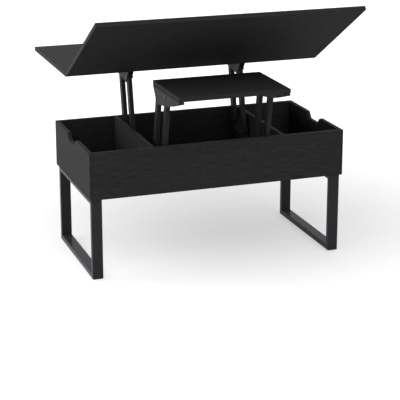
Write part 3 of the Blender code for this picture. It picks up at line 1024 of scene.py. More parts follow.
class Repeater:
    """Sets copies of one part on spots, each turned to face its own way."""

    INPUTS: ClassVar[dict[str, str]] = {
        "Spots": "NodeSocketGeometry",
        "Part": "NodeSocketObject",
        "Finish": "NodeSocketMaterial",
        "Largest turn": "NodeSocketFloat",
        "Seed": "NodeSocketInt",
    }

    def __init__(self) -> None:
        """Builds the node tree."""
        tree = bpy.data.node_groups.new("parts_on_spots", "GeometryNodeTree")
        tree.is_modifier = True
        self.inputs = {
            name: tree.interface.new_socket(name, in_out="INPUT", socket_type=kind).identifier
            for name, kind in self.INPUTS.items()
        }
        tree.interface.new_socket("Parts", in_out="OUTPUT", socket_type="NodeSocketGeometry")
        given = add_node(tree, "NodeGroupInput").outputs
        part = add_node(tree, "GeometryNodeObjectInfo", links={"Object": given["Part"]})
        copies = add_node(
            tree,
            "GeometryNodeInstanceOnPoints",
            links={
                "Points": given["Spots"],
                "Instance": part.outputs["Geometry"],
                "Rotation": self.turned(tree, given["Largest turn"], given["Seed"]),
            },
        )
        real = add_node(
            tree, "GeometryNodeRealizeInstances", links={"Geometry": copies.outputs["Instances"]}
        )
        coated = add_node(
            tree,
            "GeometryNodeSetMaterial",
            links={"Geometry": real.outputs["Geometry"], "Material": given["Finish"]},
        )
        add_node(tree, "NodeGroupOutput", links={"Parts": coated.outputs["Geometry"]})
        self.tree = tree

    @staticmethod
    def turned(
        tree: NodeTree, largest: NodeSocket, seed: NodeSocket
    ) -> NodeSocket:
        """Adds the nodes that face each copy its own way and turn it about that way.

        Args:
            tree: The node tree.
            largest: The largest turn.
            seed: Fixes the turns.

        Returns:
            The copies' rotation.
        """
        facing = add_node(
            tree, "GeometryNodeInputNamedAttribute", {"data_type": "FLOAT_VECTOR"}, {"Name": FACING}
        ).outputs["Attribute"]
        aligned = add_node(
            tree, "FunctionNodeAlignRotationToVector", {"axis": "Z"}, links={"Vector": facing}
        )
        turn = add_node(
            tree,
            "FunctionNodeRandomValue",
            {"data_type": "FLOAT"},
            links={RANDOM_LARGEST: largest, "Seed": seed},
        ).outputs[RANDOM_RESULT]
        spin = add_node(
            tree, "FunctionNodeAxisAngleToRotation", values={"Axis": UP}, links={"Angle": turn}
        )
        return add_node(
            tree,
            "FunctionNodeRotateRotation",
            {"rotation_space": "LOCAL"},
            links={"Rotation": aligned.outputs["Rotation"], "Rotate By": spin.outputs["Rotation"]},
        ).outputs["Rotation"]

    def place(
        self,
        name: str,
        part: Mesh,
        spots: Sequence[Spot],
        finish: Finish,
        body: Body,
        nodes: Sequence[str] = (),
        largest_turn: float = 0.0,
        seed: int = 0,
    ) -> Object:
        """Makes one piece of all the copies.

        Args:
            name: The piece's name.
            part: The part's mesh, with its origin on the spot and its own +Z as the way it faces.
            spots: Each copy's place and the way it faces.
            finish: What the copies are made of.
            body: The body that they move with.
            nodes: The frame's nodes that they stand for.
            largest_turn: How far a copy may be turned about the way it faces.
            seed: Fixes the turns.

        Returns:
            The finished object.
        """
        shade_smooth(part)
        sample = add_object("sample", part)
        places = bpy.data.meshes.new(name)
        places.from_pydata([place for place, _ in spots], [], [])
        facings = places.attributes.new(FACING, "FLOAT_VECTOR", "POINT")
        facings.data.foreach_set("vector", [value for _, facing in spots for value in facing])
        piece = Piece(name, places).shaped("NODES", node_group=self.tree)
        step = piece.item.modifiers[0]
        given = {"Part": sample, "Finish": finish.material(), "Largest turn": largest_turn, "Seed": seed}
        for socket, value in given.items():
            step[self.inputs[socket]] = value
        mesh = piece.settled().item.data
        bpy.data.objects.remove(sample)
        if FACING in mesh.attributes:
            mesh.attributes.remove(mesh.attributes[FACING])
        return piece.finished(finish, body, *nodes)


@dataclass(frozen=True)
class CrossScrew:
    """A screw with a domed or countersunk head and a cross recess.

    Attributes:
        head_radius: The head's radius.
        head_height: How far the head stands up from the face under it.
        shank_radius: The shank's radius.
        length: The shank's length under the head.
        domed: Whether the head is domed. It is nearly flat otherwise.
    """

    head_radius: float
    head_height: float
    shank_radius: float
    length: float
    domed: bool = True

    DOME_TURNS: ClassVar[Sequence[float]] = (72, 54, 36, 18, 4)
    # Shares of the head's radius and height
    FLAT_RIM: ClassVar[Sequence[Point]] = ((0.9, 1.0), (1.0, 0.4))
    RECESS_REACH: ClassVar[float] = 0.5
    RECESS_WIDTH: ClassVar[float] = 0.11
    RECESS_FLOOR: ClassVar[float] = 0.35

    def mesh(self) -> Mesh:
        """Makes the screw, facing +Z, with its head seated at the origin.

        Returns:
            The screw's mesh.
        """
        radius, rise, shank = self.head_radius, self.head_height, self.shank_radius
        if self.domed:
            rim = [(cos(radians(turn)), sin(radians(turn))) for turn in self.DOME_TURNS]
        else:
            rim = self.FLAT_RIM
        profile = [
            (0.0, rise),
            *((radius * out, rise * up) for out, up in rim),
            (radius, 0.0),
            (shank, 0.0),
            (shank, 2 * shank - self.length),
            (0.0, -self.length),
        ]
        piece = Piece("screw", lathe_mesh(profile, sides=20))
        reach, width = radius * self.RECESS_REACH, radius * self.RECESS_WIDTH
        floor, above = Vector((0, 0, rise * self.RECESS_FLOOR)), Vector((0, 0, 2 * rise))
        for arm in (Vector((reach, width, 0)), Vector((width, reach, 0))):
            piece.cut(box_mesh([(floor - arm, above + arm)]))
        return piece.loose_mesh()


@dataclass(frozen=True)
class Rivet:
    """A pivot rivet with a domed head and an upset, dimpled tail."""

    head_radius: float = 7 * MM
    head_height: float = 2 * MM
    shank_radius: float = 4 * MM
    tail_radius: float = 5.5 * MM
    tail_height: float = 1.5 * MM

    DOME_STEPS: ClassVar[Sequence[float]] = (0.0, 0.3, 0.55, 0.75, 0.9, 1.0)
    DOME_DROP: ClassVar[float] = 0.75
    # Shares of the tail's radius and height
    TAIL: ClassVar[Sequence[Point]] = ((1, 1), (1, 0.5), (0.85, 0), (0.35, 0), (0.2, 0.4), (0, 0.4))

    def mesh(self, length: float) -> Mesh:
        """Makes the rivet, facing +Z, with its head's crown at the origin.

        Args:
            length: From the crown to the end of the tail.

        Returns:
            The rivet's mesh.
        """
        drop = self.DOME_DROP * self.head_height
        return lathe_mesh(
            [
                *((self.head_radius * step, -drop * step**2) for step in self.DOME_STEPS),
                (self.head_radius, -self.head_height),
                (self.shank_radius, -self.head_height),
                (self.shank_radius, self.tail_height - length),
                *((self.tail_radius * out, self.tail_height * up - length) for out, up in self.TAIL),
            ]
        )


# Legs


@dataclass
class LegLoops:
    """Two closed loops of rectangular steel tube, mitred and welded at the corners, on nylon glides."""

    tube: float = 20 * MM
    edge_radius: float = 2.2 * MM
    weld_width: float = 0.9 * MM
    weld_depth: float = 0.18 * MM
    bolt_spacing: float = 160 * MM
    bolt_hole: float = 3 * MM
    bolt: CrossScrew = CrossScrew(5.5 * MM, 3.2 * MM, 2.9 * MM, 24 * MM)
    glide_rim: float = 0.4 * MM
    glide_sole: float = 1.2 * MM
    bolt_seed: int = 11

    def build(self, repeater: Repeater) -> None:
        """Makes the loops, their glides and the screws that hold them to the box.

        Args:
            repeater: Sets the glides and screws.
        """
        bolts: list[Spot] = []
        for side in Side:
            node = f"{side.word}_leg_loop"
            low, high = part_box(node)
            piece = Piece(f"{side.word}_leg", self.loop_mesh(low, high))
            middle = (low + high) / 2
            heads = [
                Vector((middle.x, middle.y + step * self.bolt_spacing, high.z - self.tube))
                for step in (-1, 0, 1)
            ]
            # The holes go right through the upper bar, with half its height to spare at both ends.
            holes = [head + DOWN * self.tube / 2 for head in heads]
            piece.cut(rod_mesh(holes, 2 * self.tube, self.bolt_hole, Axis.Z))
            piece.settled().smooth().finished(LEG_COAT, Body.BASE, node)
            bolts += [(head, DOWN) for head in heads]
        bolt = self.bolt.mesh()
        repeater.place(
            "leg_screws", bolt, bolts, SCREW_STEEL, Body.BASE, largest_turn=pi, seed=self.bolt_seed
        )
        feet = [f"{side.word}_{end}_glide" for side in Side for end in ("front", "rear")]
        spots = [(self.sole_of(*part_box(foot)), UP) for foot in feet]
        glide = lathe_mesh(self.glide_profile(*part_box(feet[0])))
        repeater.place("leg_glides", glide, spots, NYLON, Body.BASE, feet)

    @staticmethod
    def sole_of(low: Vector, high: Vector) -> Vector:
        """Finds the middle of the underside of a box."""
        return Vector(((low.x + high.x) / 2, (low.y + high.y) / 2, low.z))

    def glide_profile(self, low: Vector, high: Vector) -> list[Point]:
        """Draws a glide's profile, from its upper face down to its sole.

        Args:
            low: The glide's lowest corner.
            high: Its highest corner.

        Returns:
            The profile's radii and heights.
        """
        radius, height = (high.x - low.x) / 2, high.z - low.z
        return [
            (0.0, height),
            (radius - self.glide_rim, height),
            (radius, height - self.glide_rim),
            (radius, self.glide_sole),
            (radius - self.glide_sole, 0.0),
            (0.0, 0.0),
        ]

    def loop_mesh(self, low: Vector, high: Vector) -> Mesh:
        """Draws the tube's section round the loop.

        Args:
            low: The loop's lowest corner.
            high: Its highest corner.

        Returns:
            The outer skin of the loop, with a fine line at each mitre.
        """
        wide, tube, rim = high.x - low.x, self.tube, self.edge_radius
        section = rounded([(0, 0, rim), (wide, 0, rim), (wide, tube, rim), (0, tube, rim)], steps=4)
        middle = Vector((wide / 2, tube / 2))
        centre = Vector((low.y + high.y, low.z + high.z)) / 2
        places = ((low.y, low.z), (high.y, low.z), (high.y, high.z), (low.y, high.z))
        corners = [Vector(place) for place in places]
        form = bmesh.new()
        rings: list[list[BMVert]] = []
        for i, corner in enumerate(corners):
            inside = Vector((1 if corner.x < centre.x else -1, 1 if corner.y < centre.y else -1))
            back = (corners[i - 1] - corner).normalized() * self.weld_width / 2
            ahead = (corners[(i + 1) % len(corners)] - corner).normalized() * self.weld_width / 2
            for shift, sunk in ((back, 0.0), (Vector((0, 0)), self.weld_depth), (ahead, 0.0)):
                ring = []
                for u, v in section:
                    across, deep = Vector((u, v)) + (middle - Vector((u, v))).normalized() * sunk
                    spot = corner + inside * deep + shift
                    ring.append(form.verts.new((low.x + across, spot.x, spot.y)))
                rings.append(ring)
        for ring, after in zip(rings, [*rings[1:], rings[0]]):
            for k in range(len(ring)):
                n = (k + 1) % len(ring)
                form.faces.new((ring[k], ring[n], after[n], after[k]))
        return mesh_of(form, face_out=True)


# Lifts


class Swing(Enum):
    """Which way a lift carries its top. The value is the sign of Y."""

    TO_BACK = 1
    TO_FRONT = -1


@dataclass
class Pivots:
    """A lift's four pivot lines, as points at X = 0. Deep ones are nearer the bracket's deep end."""

    deep_base: Vector
    shallow_base: Vector
    deep_top: Vector

    @property
    def step(self) -> Vector:
        """From a deep pivot to the shallow one on the same bracket."""
        return self.shallow_base - self.deep_base

    @property
    def shallow_top(self) -> Vector:
        """The shallow arms' upper pivot."""
        return self.deep_top + self.step


@dataclass
class Lift:
    """One lift: folded arms, a base plate and a top channel on each side, and the rivets between them.

    Attributes:
        name: The first word of its nodes' names.
        swing: Which way it carries its top.
        deep: The word for its deep arms.
        shallow: The word for its shallow arms.
        joints: The joints at its deep base, shallow base and deep top pivots.
        top: The body that it carries.
    """

    name: str
    swing: Swing
    deep: str
    shallow: str
    joints: tuple[str, str, str]
    top: Body
    arm_width: float = 26 * MM
    arm_depth: float = 16 * MM
    arm_wall: float = 1.8 * MM
    sheet: float = 2 * MM
    arm_bend: float = 2.8 * MM
    bracket_bend: float = 4.5 * MM
    bend_angle: float = radians(60)
    running: float = 0.5 * MM
    seam: float = 0.3 * MM
    corner: float = 5 * MM
    bracket_length: float = 300 * MM
    bracket_end: float = 5 * MM
    bracket_heel: Point = (44 * MM, 64 * MM)
    bracket_knee: Point = (175 * MM, 46 * MM)
    bracket_tip: float = 9 * MM
    pivot_inset: float = 37 * MM
    pivot_drop: float = 43 * MM
    base_margin: float = 16 * MM
    base_crest: float = 18 * MM
    main_drop: float = 26 * MM
    small_foot: float = 28 * MM
    stop_radius: float = 3 * MM
    stop_margin: float = 11 * MM
    stop_length: float = 12 * MM
    hole_radius: float = 4.2 * MM
    rivet: Rivet = Rivet()
    screw: CrossScrew = CrossScrew(4 * MM, 2.2 * MM, 1.9 * MM, 12 * MM)
    top_screw_spacing: float = 120 * MM
    base_screw_places: Sequence[float] = (0.25, 0.75)
    foot_screw_place: float = 2 / 3
    base_seed: int = 3
    top_seed: int = 5

    def build(self, repeater: Repeater) -> None:
        """Makes the lift.

        Args:
            repeater: Sets the rivets and screws.
        """
        pivots = self.pivots()
        base_spots: list[Spot] = []
        top_spots: list[Spot] = []
        for side in Side:
            self.arm(side, self.deep, pivots.deep_base, pivots.deep_top)
            self.arm(side, self.shallow, pivots.shallow_base, pivots.shallow_top)
            top_spots += self.top_bracket(side, pivots)
            base_spots += self.base_bracket(side, pivots)
        for level, spots, body, seed in (
            ("base", base_spots, Body.BASE, self.base_seed),
            ("top", top_spots, self.top, self.top_seed),
        ):
            name = f"{self.name}_{level}_screws"
            repeater.place(name, self.screw.mesh(), spots, SCREW_STEEL, body, largest_turn=pi, seed=seed)
        lower = {self.deep: pivots.deep_base, self.shallow: pivots.shallow_base}
        upper = {self.deep: pivots.deep_top, self.shallow: pivots.shallow_top}
        self.rivets(repeater, "lower", lower, Body.BASE)
        self.rivets(repeater, "upper", upper, self.top)

    def pivots(self) -> Pivots:
        """Reads the pivots from the frame's joints."""
        places = {joint["name"]: Vector(joint["pos_m"]) for joint in frame["joints"]}
        return Pivots(*(places[name] for name in self.joints))

    def along(self, start: Vector, distance: float) -> float:
        """Finds Y at a distance from a pivot, the way the lift swings."""
        return start.y + self.swing.value * distance

    @staticmethod
    def on_right(low: Vector, high: Vector) -> Box:
        """Mirrors a node's box to the right-hand side."""
        near, far = sorted((abs(low.x), abs(high.x)))
        return Vector((near, low.y, low.z)), Vector((far, high.y, high.z))

    def folded(self, skin: Mesh, name: str, wall: float, bend: float, halved: bool) -> Piece:
        """Rounds a skin's bends and gives it its wall.

        Args:
            skin: The piece's outer faces.
            name: Its name.
            wall: The sheet's thickness.
            bend: The outer radius of its bends.
            halved: Whether the skin is one half of a channel about X = 0.

        Returns:
            The piece, which is still open to cuts.
        """
        piece = Piece(name, skin).eased(bend, segments=4, above=self.bend_angle)
        if halved:
            piece.shaped("MIRROR", merge_threshold=MERGE)
        return piece.shaped("SOLIDIFY", thickness=wall, offset=-1, use_even_offset=True)

    def arm(self, side: Side, word: str, lower: Vector, upper: Vector) -> None:
        """Makes one arm: a channel with round ends and its web along the front.

        Args:
            side: The end of the table.
            word: The word for the arm's pair.
            lower: Its lower pivot.
            upper: Its upper pivot.
        """
        node = f"{self.name}_{word}_arm_{side.word}"
        low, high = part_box(node)
        axis = upper - lower
        half, half_deep = self.arm_width / 2, self.arm_depth / 2
        ends = [(-half, -half), (half, -half), (half, axis.length + half), (-half, axis.length + half)]
        outline = rounded([(u, v, half) for u, v in ends], steps=10)
        web = Fold(lambda u, v: u < -self.seam, [(-half_deep, 0, 0)])
        skin = folded_skin(outline, half_deep, 1, [web])
        name = node.replace("_arm_", "_lift_arm_")
        piece = self.folded(skin, name, self.arm_wall, self.arm_bend, halved=True)
        starts = [Vector((-self.arm_depth, 0, height)) for height in (0, axis.length)]
        piece.cut(rod_mesh(starts, 2 * self.arm_depth, self.hole_radius, Axis.X)).settled()
        turn = Matrix.Rotation(-atan2(axis.y, axis.z), 4, "X")
        middle = Vector(((low.x + high.x) / 2, lower.y, lower.z))
        piece.placed(Matrix.Translation(middle) @ turn).smooth()
        piece.finished(LIFT_COAT, f"{self.name}_{word}_arms", node)

    def top_bracket(self, side: Side, pivots: Pivots) -> list[Spot]:
        """Makes one top bracket: a tapering channel under the board, closed across its tip.

        Args:
            side: The end of the table.
            pivots: The lift's pivots.

        Returns:
            The spots of its screws.
        """
        node = f"{self.name}_top_bracket_{side.word}"
        low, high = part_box(node)
        half = (high.x - low.x) / 2
        top = high.z - pivots.deep_top.z
        tip = self.bracket_length - self.pivot_inset
        sign = self.swing.value

        def corner(along: float, depth: float, radius: float = 0.0) -> Corner:
            """Places a corner from the bracket's deep end and its board."""
            return (sign * (along - self.pivot_inset), self.pivot_drop - depth, radius)

        outline = rounded(
            [
                corner(0, self.seam),
                corner(0, self.bracket_end),
                corner(*self.bracket_heel, self.corner),
                corner(*self.bracket_knee, self.corner),
                corner(self.bracket_length, self.bracket_tip),
                corner(self.bracket_length, self.seam),
            ]
        )
        web = Fold(lambda u, v: v > top - self.seam, [(-half, 0, 0)])
        across_tip = Fold(lambda u, v: u * sign > tip - self.seam, [(-half, 0, 0)])
        skin = folded_skin(outline, half, 1, [web, across_tip])
        piece = self.folded(skin, f"{node}_channel", self.sheet, self.bracket_bend, halved=True)
        deep_hole = Vector((-2 * half, 0, 0))
        holes = [deep_hole, deep_hole + pivots.step]
        piece.cut(rod_mesh(holes, 4 * half, self.hole_radius, Axis.X)).settled()
        middle = Vector(((low.x + high.x) / 2, pivots.deep_top.y, pivots.deep_top.z))
        piece.placed(Matrix.Translation(middle)).smooth()
        piece.finished(LIFT_COAT, self.top, node)
        centre = self.bracket_length / 2 - self.pivot_inset
        places = [self.along(pivots.deep_top, centre + k * self.top_screw_spacing) for k in (-1, 0, 1)]
        return [(Vector((middle.x, y, high.z - self.sheet)), DOWN) for y in places]

    def base_bracket(self, side: Side, pivots: Pivots) -> list[Spot]:
        """Makes one base bracket: the plate with the lower pivots and the stop stud.

        It is made on the right-hand side, and mirrored where it belongs on the left.

        Args:
            side: The end of the table.
            pivots: The lift's pivots.

        Returns:
            The spots of its screws.
        """
        node = f"{self.name}_base_bracket_{side.word}"
        low, high = self.on_right(*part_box(node))
        arm_face = self.on_right(*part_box(f"{self.name}_{self.deep}_arm_{side.word}"))[1].x
        plate_face = arm_face + self.running
        deep = pivots.deep_base
        to_back = self.swing is Swing.TO_BACK
        reach = abs((high.y if to_back else low.y) - deep.y)
        if to_back:
            strips = [(high.x - plate_face, 0, 0), (0, 0, self.main_drop + self.base_crest)]
        else:
            strips = [(self.small_foot, 0, 0)]
        outline = self.base_outline(pivots, reach, low.z, high.z)
        skin = folded_skin(outline, plate_face, -1, [Fold(lambda u, v: v < low.z + self.seam, strips)])
        piece = self.folded(skin, f"{node}_plate", self.sheet, self.arm_bend, halved=False)
        hole = Vector((plate_face - self.sheet, deep.y, deep.z))
        piece.cut(rod_mesh([hole, hole + pivots.step], 3 * self.sheet, self.hole_radius, Axis.X))
        stud_y = self.along(deep, reach - self.stop_margin)
        stud = Vector((arm_face - self.stop_length, stud_y, high.z - self.stop_margin))
        stud_length = plate_face + self.sheet / 2 - stud.x
        piece.cut(rod_mesh([stud], stud_length, self.stop_radius, Axis.X), "UNION")
        piece.settled().placed(Matrix.Scale(side.value, 4, (1, 0, 0))).smooth()
        piece.finished(LIFT_COAT, Body.BASE, node)
        if to_back:
            x, z = high.x - self.sheet, deep.z - self.base_crest / 2
            facing = Vector((-side.value, 0, 0))
        else:
            x, z = plate_face + self.small_foot * self.foot_screw_place, low.z + self.sheet
            facing = UP
        length = reach + self.base_margin
        places = [length * share - self.base_margin for share in self.base_screw_places]
        return [(Vector((side.value * x, self.along(deep, along), z)), facing) for along in places]

    def base_outline(self, pivots: Pivots, reach: float, foot: float, crest: float) -> list[Point]:
        """Draws a base plate's outline.

        Args:
            pivots: The lift's pivots.
            reach: From the deep pivot to the plate's far end.
            foot: Z of its lower edge.
            crest: Z of its highest edge, over the stop stud.

        Returns:
            The outline's Y and Z values.
        """
        deep, span, rise = pivots.deep_base, abs(pivots.step.y), pivots.step.z
        corners = [
            (-self.base_margin, foot, 0),
            (reach, foot, 0),
            (reach, crest, self.corner),
            (span + self.arm_width / 2, crest, self.corner),
            (span - self.base_crest, deep.z + rise + self.base_crest, self.corner),
            (-self.base_margin, deep.z + self.base_crest, self.corner),
        ]
        return rounded([(self.along(deep, distance), z, radius) for distance, z, radius in corners])

    def rivets(self, repeater: Repeater, level: str, pivots: dict[str, Vector], body: Body) -> None:
        """Makes the rivets of one level.

        Args:
            repeater: Sets the rivets.
            level: The word for the level in the nodes' names.
            pivots: The pivot of each pair of arms.
            body: The body that the rivets move with.
        """
        spots: list[Spot] = []
        nodes: list[str] = []
        for side in Side:
            for word, pivot in pivots.items():
                nodes.append(f"{self.name}_{word}_{level}_pin_{side.word}")
                low, high = self.on_right(*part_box(nodes[-1]))
                crown = Vector((side.value * high.x, pivot.y, pivot.z))
                spots.append((crown, Vector((side.value, 0, 0))))
        rivet = self.rivet.mesh(high.x - low.x)
        repeater.place(f"{self.name}_{level}_rivets", rivet, spots, RIVET_STEEL, body, nodes)


MAIN_LIFT = Lift(
    "main",
    Swing.TO_BACK,
    "front",
    "rear",
    ("main_lift", "main_rear_arm_swing", "main_top_level"),
    Body.MAIN_TOP,
)
SMALL_LIFT = Lift(
    "small",
    Swing.TO_FRONT,
    "rear",
    "front",
    ("small_lift", "small_front_arm_swing", "small_top_level"),
    Body.SMALL_TOP,
)


# Tops and hinges


@dataclass
class Leaf:
    """One leaf of the folding top, with its halves of the hinges.

    Attributes:
        node: The leaf's node.
        word: The word for its hinge halves.
        facing: The sign of Y of its side of the hinge axis.
        body: The body that it moves with.
        place: The move that brings it from about the origin to the hinge axis.
        seed: Where on the printed paper it was cut from.
    """

    node: str
    word: str
    facing: int
    body: Body
    place: Matrix
    seed: int


@dataclass
class FoldingTop:
    """The rear leaf, the folding leaf and the butt hinges between them.

    All of it is drawn with the hinge axis through the origin and both leaves level, and is then brought
    to its place.
    """

    count: int = 5
    length: float = 50 * MM
    knuckles: int = 5
    plate: float = 1.2 * MM
    plate_drop: float = 12 * MM
    knuckle_radius: float = 3 * MM
    knuckle_gap: float = 0.4 * MM
    curl_steps: int = 30
    pin_radius: float = 1.2 * MM
    pin_play: float = 0.3 * MM
    ease: float = 0.15 * MM
    ease_angle: float = radians(60)
    pocket_play: float = 0.3 * MM
    screw: CrossScrew = CrossScrew(2.3 * MM, 0.35 * MM, 1.1 * MM, 9 * MM, domed=False)
    screw_spacing: float = 17 * MM
    screw_drop: float = 7.6 * MM
    screw_seed: int = 17

    def build(self, repeater: Repeater) -> None:
        """Makes the leaves and hinges.

        Args:
            repeater: Sets the hinge halves and their screws.
        """
        joint = next(joint for joint in frame["joints"] if joint["name"] == "leaf_fold")
        axis = Vector(joint["pos_m"])
        tilt = radians(-joint["range_deg"][0])
        flat = Matrix.Translation(axis)
        raised = flat @ Matrix.Rotation(-tilt, 4, "X")
        leaves = (
            Leaf("rear_leaf", "rear", 1, Body.MAIN_TOP, flat, 8),
            Leaf("folding_leaf", "leaf", -1, Body.FOLDING_LEAF, raised, 9),
        )
        low, high = (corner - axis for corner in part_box("rear_leaf"))
        numbers = range(1, self.count + 1)
        middles = [sum(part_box(f"hinge_{i}_rear_half"), Vector()).x / 2 for i in numbers]
        pockets = self.pockets(middles, high.z)
        for leaf in leaves:
            near, far = sorted((leaf.facing * low.y, leaf.facing * high.y))
            corners = Vector((low.x, near, low.z)), Vector((high.x, far, high.z))
            board = Board(leaf.node, *corners, Axis.X, Axis.Z, leaf.seed, (), pockets, leaf.place)
            board.build(leaf.body)
        for leaf in leaves:
            self.hinge_halves(repeater, leaf, middles)

    def hinge_halves(self, repeater: Repeater, leaf: Leaf, middles: Sequence[float]) -> None:
        """Makes one leaf's halves of the hinges, and their screws.

        Args:
            repeater: Sets them.
            leaf: The leaf.
            middles: X of each hinge's middle.
        """
        spots = [(Vector((x, 0, 0)), UP) for x in middles]
        nodes = [f"hinge_{i + 1}_{leaf.word}_half" for i in range(self.count)]
        half = self.half_mesh(leaf.facing)
        halves = repeater.place(f"hinge_{leaf.word}_halves", half, spots, BRASS, leaf.body, nodes)
        seat = leaf.facing * (self.knuckle_radius - self.plate)
        steps = [x + step * self.screw_spacing for x in middles for step in (-1, 0, 1)]
        screws = repeater.place(
            f"hinge_{leaf.word}_screws",
            self.screw.mesh(),
            [(Vector((x, seat, -self.screw_drop)), Vector((0, -leaf.facing, 0))) for x in steps],
            BRASS,
            leaf.body,
            largest_turn=pi,
            seed=self.screw_seed,
        )
        for item in (halves, screws):
            item.data.transform(leaf.place)

    def pockets(self, middles: Sequence[float], top: float) -> list[Box]:
        """Makes boxes about the hinge axis that leave room for the hinges.

        Args:
            middles: X of each hinge's middle.
            top: The leaves' upper face, from the axis.

        Returns:
            The low and high corner of each box.
        """
        half = self.length / 2 + self.pocket_play
        reach = self.knuckle_radius + self.pocket_play
        low, high = -self.plate_drop - self.pocket_play, top + self.plate_drop
        return [(Vector((x - half, -reach, low)), Vector((x + half, reach, high))) for x in middles]

    def half_mesh(self, facing: int) -> Mesh:
        """Makes one half of a hinge about its own axis.

        Args:
            facing: 1 for the half that has the pin, and -1 for the half that turns on it.

        Returns:
            The half's mesh.
        """
        outer, inner = self.knuckle_radius, self.knuckle_radius - self.plate
        sweep = 2 * pi - atan2(sqrt(outer**2 - inner**2), inner)
        turns = [sweep * k / self.curl_steps for k in range(self.curl_steps + 1)]
        curl = [(outer * cos(turn), outer * sin(turn)) for turn in turns]
        outline = [(inner, -self.plate_drop), (outer, -self.plate_drop), *curl]
        half, pitch = self.length / 2, self.length / self.knuckles
        piece = Piece("hinge_half", prism_mesh([(facing * u, v) for u, v in outline], -half, half))
        piece.cut(box_mesh(self.knuckle_gaps(first=1 if facing > 0 else 0)))
        if facing < 0:
            bore = self.pin_radius + self.pin_play
            piece.cut(rod_mesh([Vector((-self.length, 0, 0))], 2 * self.length, bore, Axis.X, sides=24))
        piece.eased(self.ease, segments=1, above=self.ease_angle)
        if facing > 0:
            start = Vector((pitch / 2 - half, 0, 0))
            piece.cut(rod_mesh([start], self.length - pitch, self.pin_radius, Axis.X, sides=24), "UNION")
        return piece.loose_mesh()

    def knuckle_gaps(self, first: int) -> list[Box]:
        """Makes boxes round the knuckles that the other half has.

        Args:
            first: The number of the first of them.

        Returns:
            The low and high corner of each box.
        """
        half, pitch = self.length / 2, self.length / self.knuckles
        reach = self.knuckle_radius + self.knuckle_gap
        gaps = []
        for i in range(first, self.knuckles, 2):
            start = i * pitch - half - (self.knuckle_gap / 2 if i else pitch)
            end = (i + 1) * pitch - half + (self.knuckle_gap / 2 if i < self.knuckles - 1 else pitch)
            gaps.append((Vector((start, -reach, -reach)), Vector((end, reach, reach))))
        return gaps


@dataclass
class SmallTable:
    """The small top that the second lift carries."""

    seed: int = 10

    def build(self) -> None:
        """Makes its board."""
        Board("small_top", *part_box("small_top"), Axis.X, Axis.Z, self.seed).build(Body.SMALL_TOP)


# Studio


@dataclass(frozen=True)
class Lamp:
    """A soft square light that faces the table.

    Attributes:
        name: Its name.
        place: Where it hangs.
        size: The length of its side.
        power: Its power in watts.
    """

    name: str
    place: Triple
    size: float
    power: float

    def build(self, aim: Vector) -> None:
        """Hangs the lamp.

        Args:
            aim: The point that it faces.
        """
        data = bpy.data.lights.new(self.name, "AREA")
        data.shape = "SQUARE"
        data.size = self.size
        data.energy = self.power
        lamp = add_object(self.name, data)
        lamp.location = self.place
        lamp.rotation_euler = (aim - Vector(self.place)).to_track_quat("-Z", "Y").to_euler()
        lamp.visible_camera = False


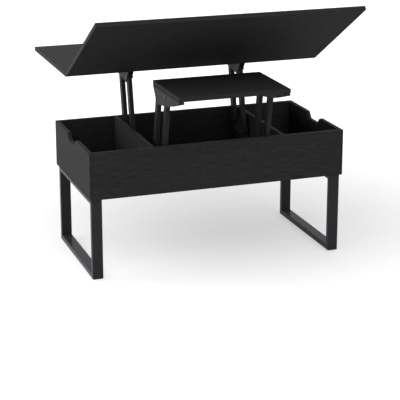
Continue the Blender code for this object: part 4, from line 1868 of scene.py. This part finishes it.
@dataclass
class Studio:
    """A white floor, soft lamps and the camera.

    The floor's own glow, which only the camera, gloss and glass see, rises from the table outwards. Far
    off it makes the floor white.
    Round the table it is lower, and that is painted shadow: it deepens the table's cast shadow there,
    which then fades into a white room.
    """

    floor_size: float = 60.0
    floor_thickness: float = 10 * MM
    floor_drop: float = 0.2 * MM
    floor_colour: str = "#b8b8b8"
    floor_roughness: float = 0.9
    # The floor's glow is least round this point, behind the table, and rises to full white by far_edge.
    # The low glow is painted shadow under and behind the table.
    glow_middle: Triple = (0.3, 0.3, 0.0)
    near_glow: float = 0.42
    far_glow: float = 1.0
    near_edge: float = 0.0
    far_edge: float = 2.1
    air: float = 0.66
    lens: float = 123.76
    sensor: float = 36.0
    shift: float = -0.10
    azimuth: float = radians(19.49)
    pitch: float = radians(16.24)
    camera_place: Triple = (-1.6848, -4.8601, 1.8238)
    lamp_aim: Triple = (0.0, 0.0, 0.5)
    lamps: tuple[Lamp, ...] = (
        Lamp("left_lamp", (-4.5, 0.3, 2.5), 2.6, 85.0),
        Lamp("front_lamp", (0.6, -3.2, 3.4), 2.6, 28.0),
        Lamp("rear_lamp", (-2.0, 1.6, 3.2), 2.4, 18.0),
    )

    WHITE: ClassVar[tuple[float, float, float, float]] = (1.0, 1.0, 1.0, 1.0)

    def build(self) -> None:
        """Makes the floor, the lamps, the air and the camera."""
        self.floor()
        self.world()
        for lamp in self.lamps:
            lamp.build(Vector(self.lamp_aim))
        self.camera()
        bpy.context.scene.view_settings.view_transform = "Standard"

    @staticmethod
    def seen(tree: NodeTree) -> NodeSocket:
        """Adds a value that is 1 for what is seen, also in gloss or glass, and 0 for other light.

        Args:
            tree: The tree that gets it.

        Returns:
            The value.
        """
        path = add_node(tree, "ShaderNodeLightPath").outputs
        first = add_node(
            tree,
            "ShaderNodeMath",
            {"operation": "ADD"},
            links={0: path["Is Camera Ray"], 1: path["Is Glossy Ray"]},
        )
        both = add_node(
            tree,
            "ShaderNodeMath",
            {"operation": "ADD", "use_clamp": True},
            links={0: first.outputs["Value"], 1: path["Is Transmission Ray"]},
        )
        return both.outputs["Value"]

    def floor(self) -> None:
        """Lays the floor."""
        half, top = self.floor_size / 2, -self.floor_drop
        low, high = Vector((-half, -half, top - self.floor_thickness)), Vector((half, half, top))
        slab = add_object("studio_floor", box_mesh([(low, high)]))
        material = bpy.data.materials.new("white_studio_floor")
        material.use_nodes = True
        tree = material.node_tree
        shader = tree.nodes["Principled BSDF"]
        shader.inputs["Base Color"].default_value = linear(self.floor_colour)
        shader.inputs["Roughness"].default_value = self.floor_roughness
        shader.inputs["Specular IOR Level"].default_value = 0.0
        shader.inputs["Emission Color"].default_value = self.WHITE
        place = add_node(tree, "ShaderNodeTexCoord").outputs["Object"]
        far = add_node(
            tree, "ShaderNodeVectorMath", {"operation": "DISTANCE"}, {1: self.glow_middle}, {0: place}
        ).outputs["Value"]
        # The glow rises from painted shadow round the table to the plain white of the room.
        glow_with_painted_shadow = add_node(
            tree,
            "ShaderNodeMapRange",
            {"interpolation_type": "SMOOTHSTEP"},
            {
                "From Min": self.near_edge,
                "From Max": self.far_edge,
                "To Min": self.near_glow,
                "To Max": self.far_glow,
            },
            {"Value": far},
        ).outputs["Result"]
        glow = add_node(
            tree, "ShaderNodeMath", {"operation": "MULTIPLY"}, links={0: glow_with_painted_shadow, 1: self.seen(tree)}
        )
        tree.links.new(glow.outputs["Value"], shader.inputs["Emission Strength"])
        slab.data.materials.append(material)

    def world(self) -> None:
        """Fills the air with even light, and shows it white."""
        world = bpy.data.worlds.new("studio_air")
        world.use_nodes = True
        tree = world.node_tree
        tree.nodes.clear()
        strength = add_node(
            tree,
            "ShaderNodeMapRange",
            values={"To Min": self.air, "To Max": 1.0},
            links={"Value": self.seen(tree)},
        )
        light = add_node(
            tree,
            "ShaderNodeBackground",
            values={"Color": self.WHITE},
            links={"Strength": strength.outputs["Result"]},
        )
        add_node(tree, "ShaderNodeOutputWorld", links={"Surface": light.outputs["Background"]})
        bpy.context.scene.world = world

    def camera(self) -> None:
        """Sets the camera."""
        data = bpy.data.cameras.new("camera")
        data.lens = self.lens
        data.sensor_width = self.sensor
        data.shift_y = self.shift
        level = cos(self.pitch)
        ahead = Vector((sin(self.azimuth) * level, cos(self.azimuth) * level, -sin(self.pitch)))
        camera = add_object("camera", data)
        camera.location = self.camera_place
        camera.rotation_euler = ahead.to_track_quat("-Z", "Y").to_euler()
        bpy.context.scene.camera = camera


def main() -> None:
    """Builds the table and its studio."""
    logging.basicConfig(level=logging.INFO, format="%(name)s: %(message)s")
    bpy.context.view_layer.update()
    repeater = Repeater()
    StorageBox().build()
    LegLoops().build(repeater)
    MAIN_LIFT.build(repeater)
    SMALL_LIFT.build(repeater)
    FoldingTop().build(repeater)
    SmallTable().build()
    Studio().build()


if __name__ == "__main__":
    main()
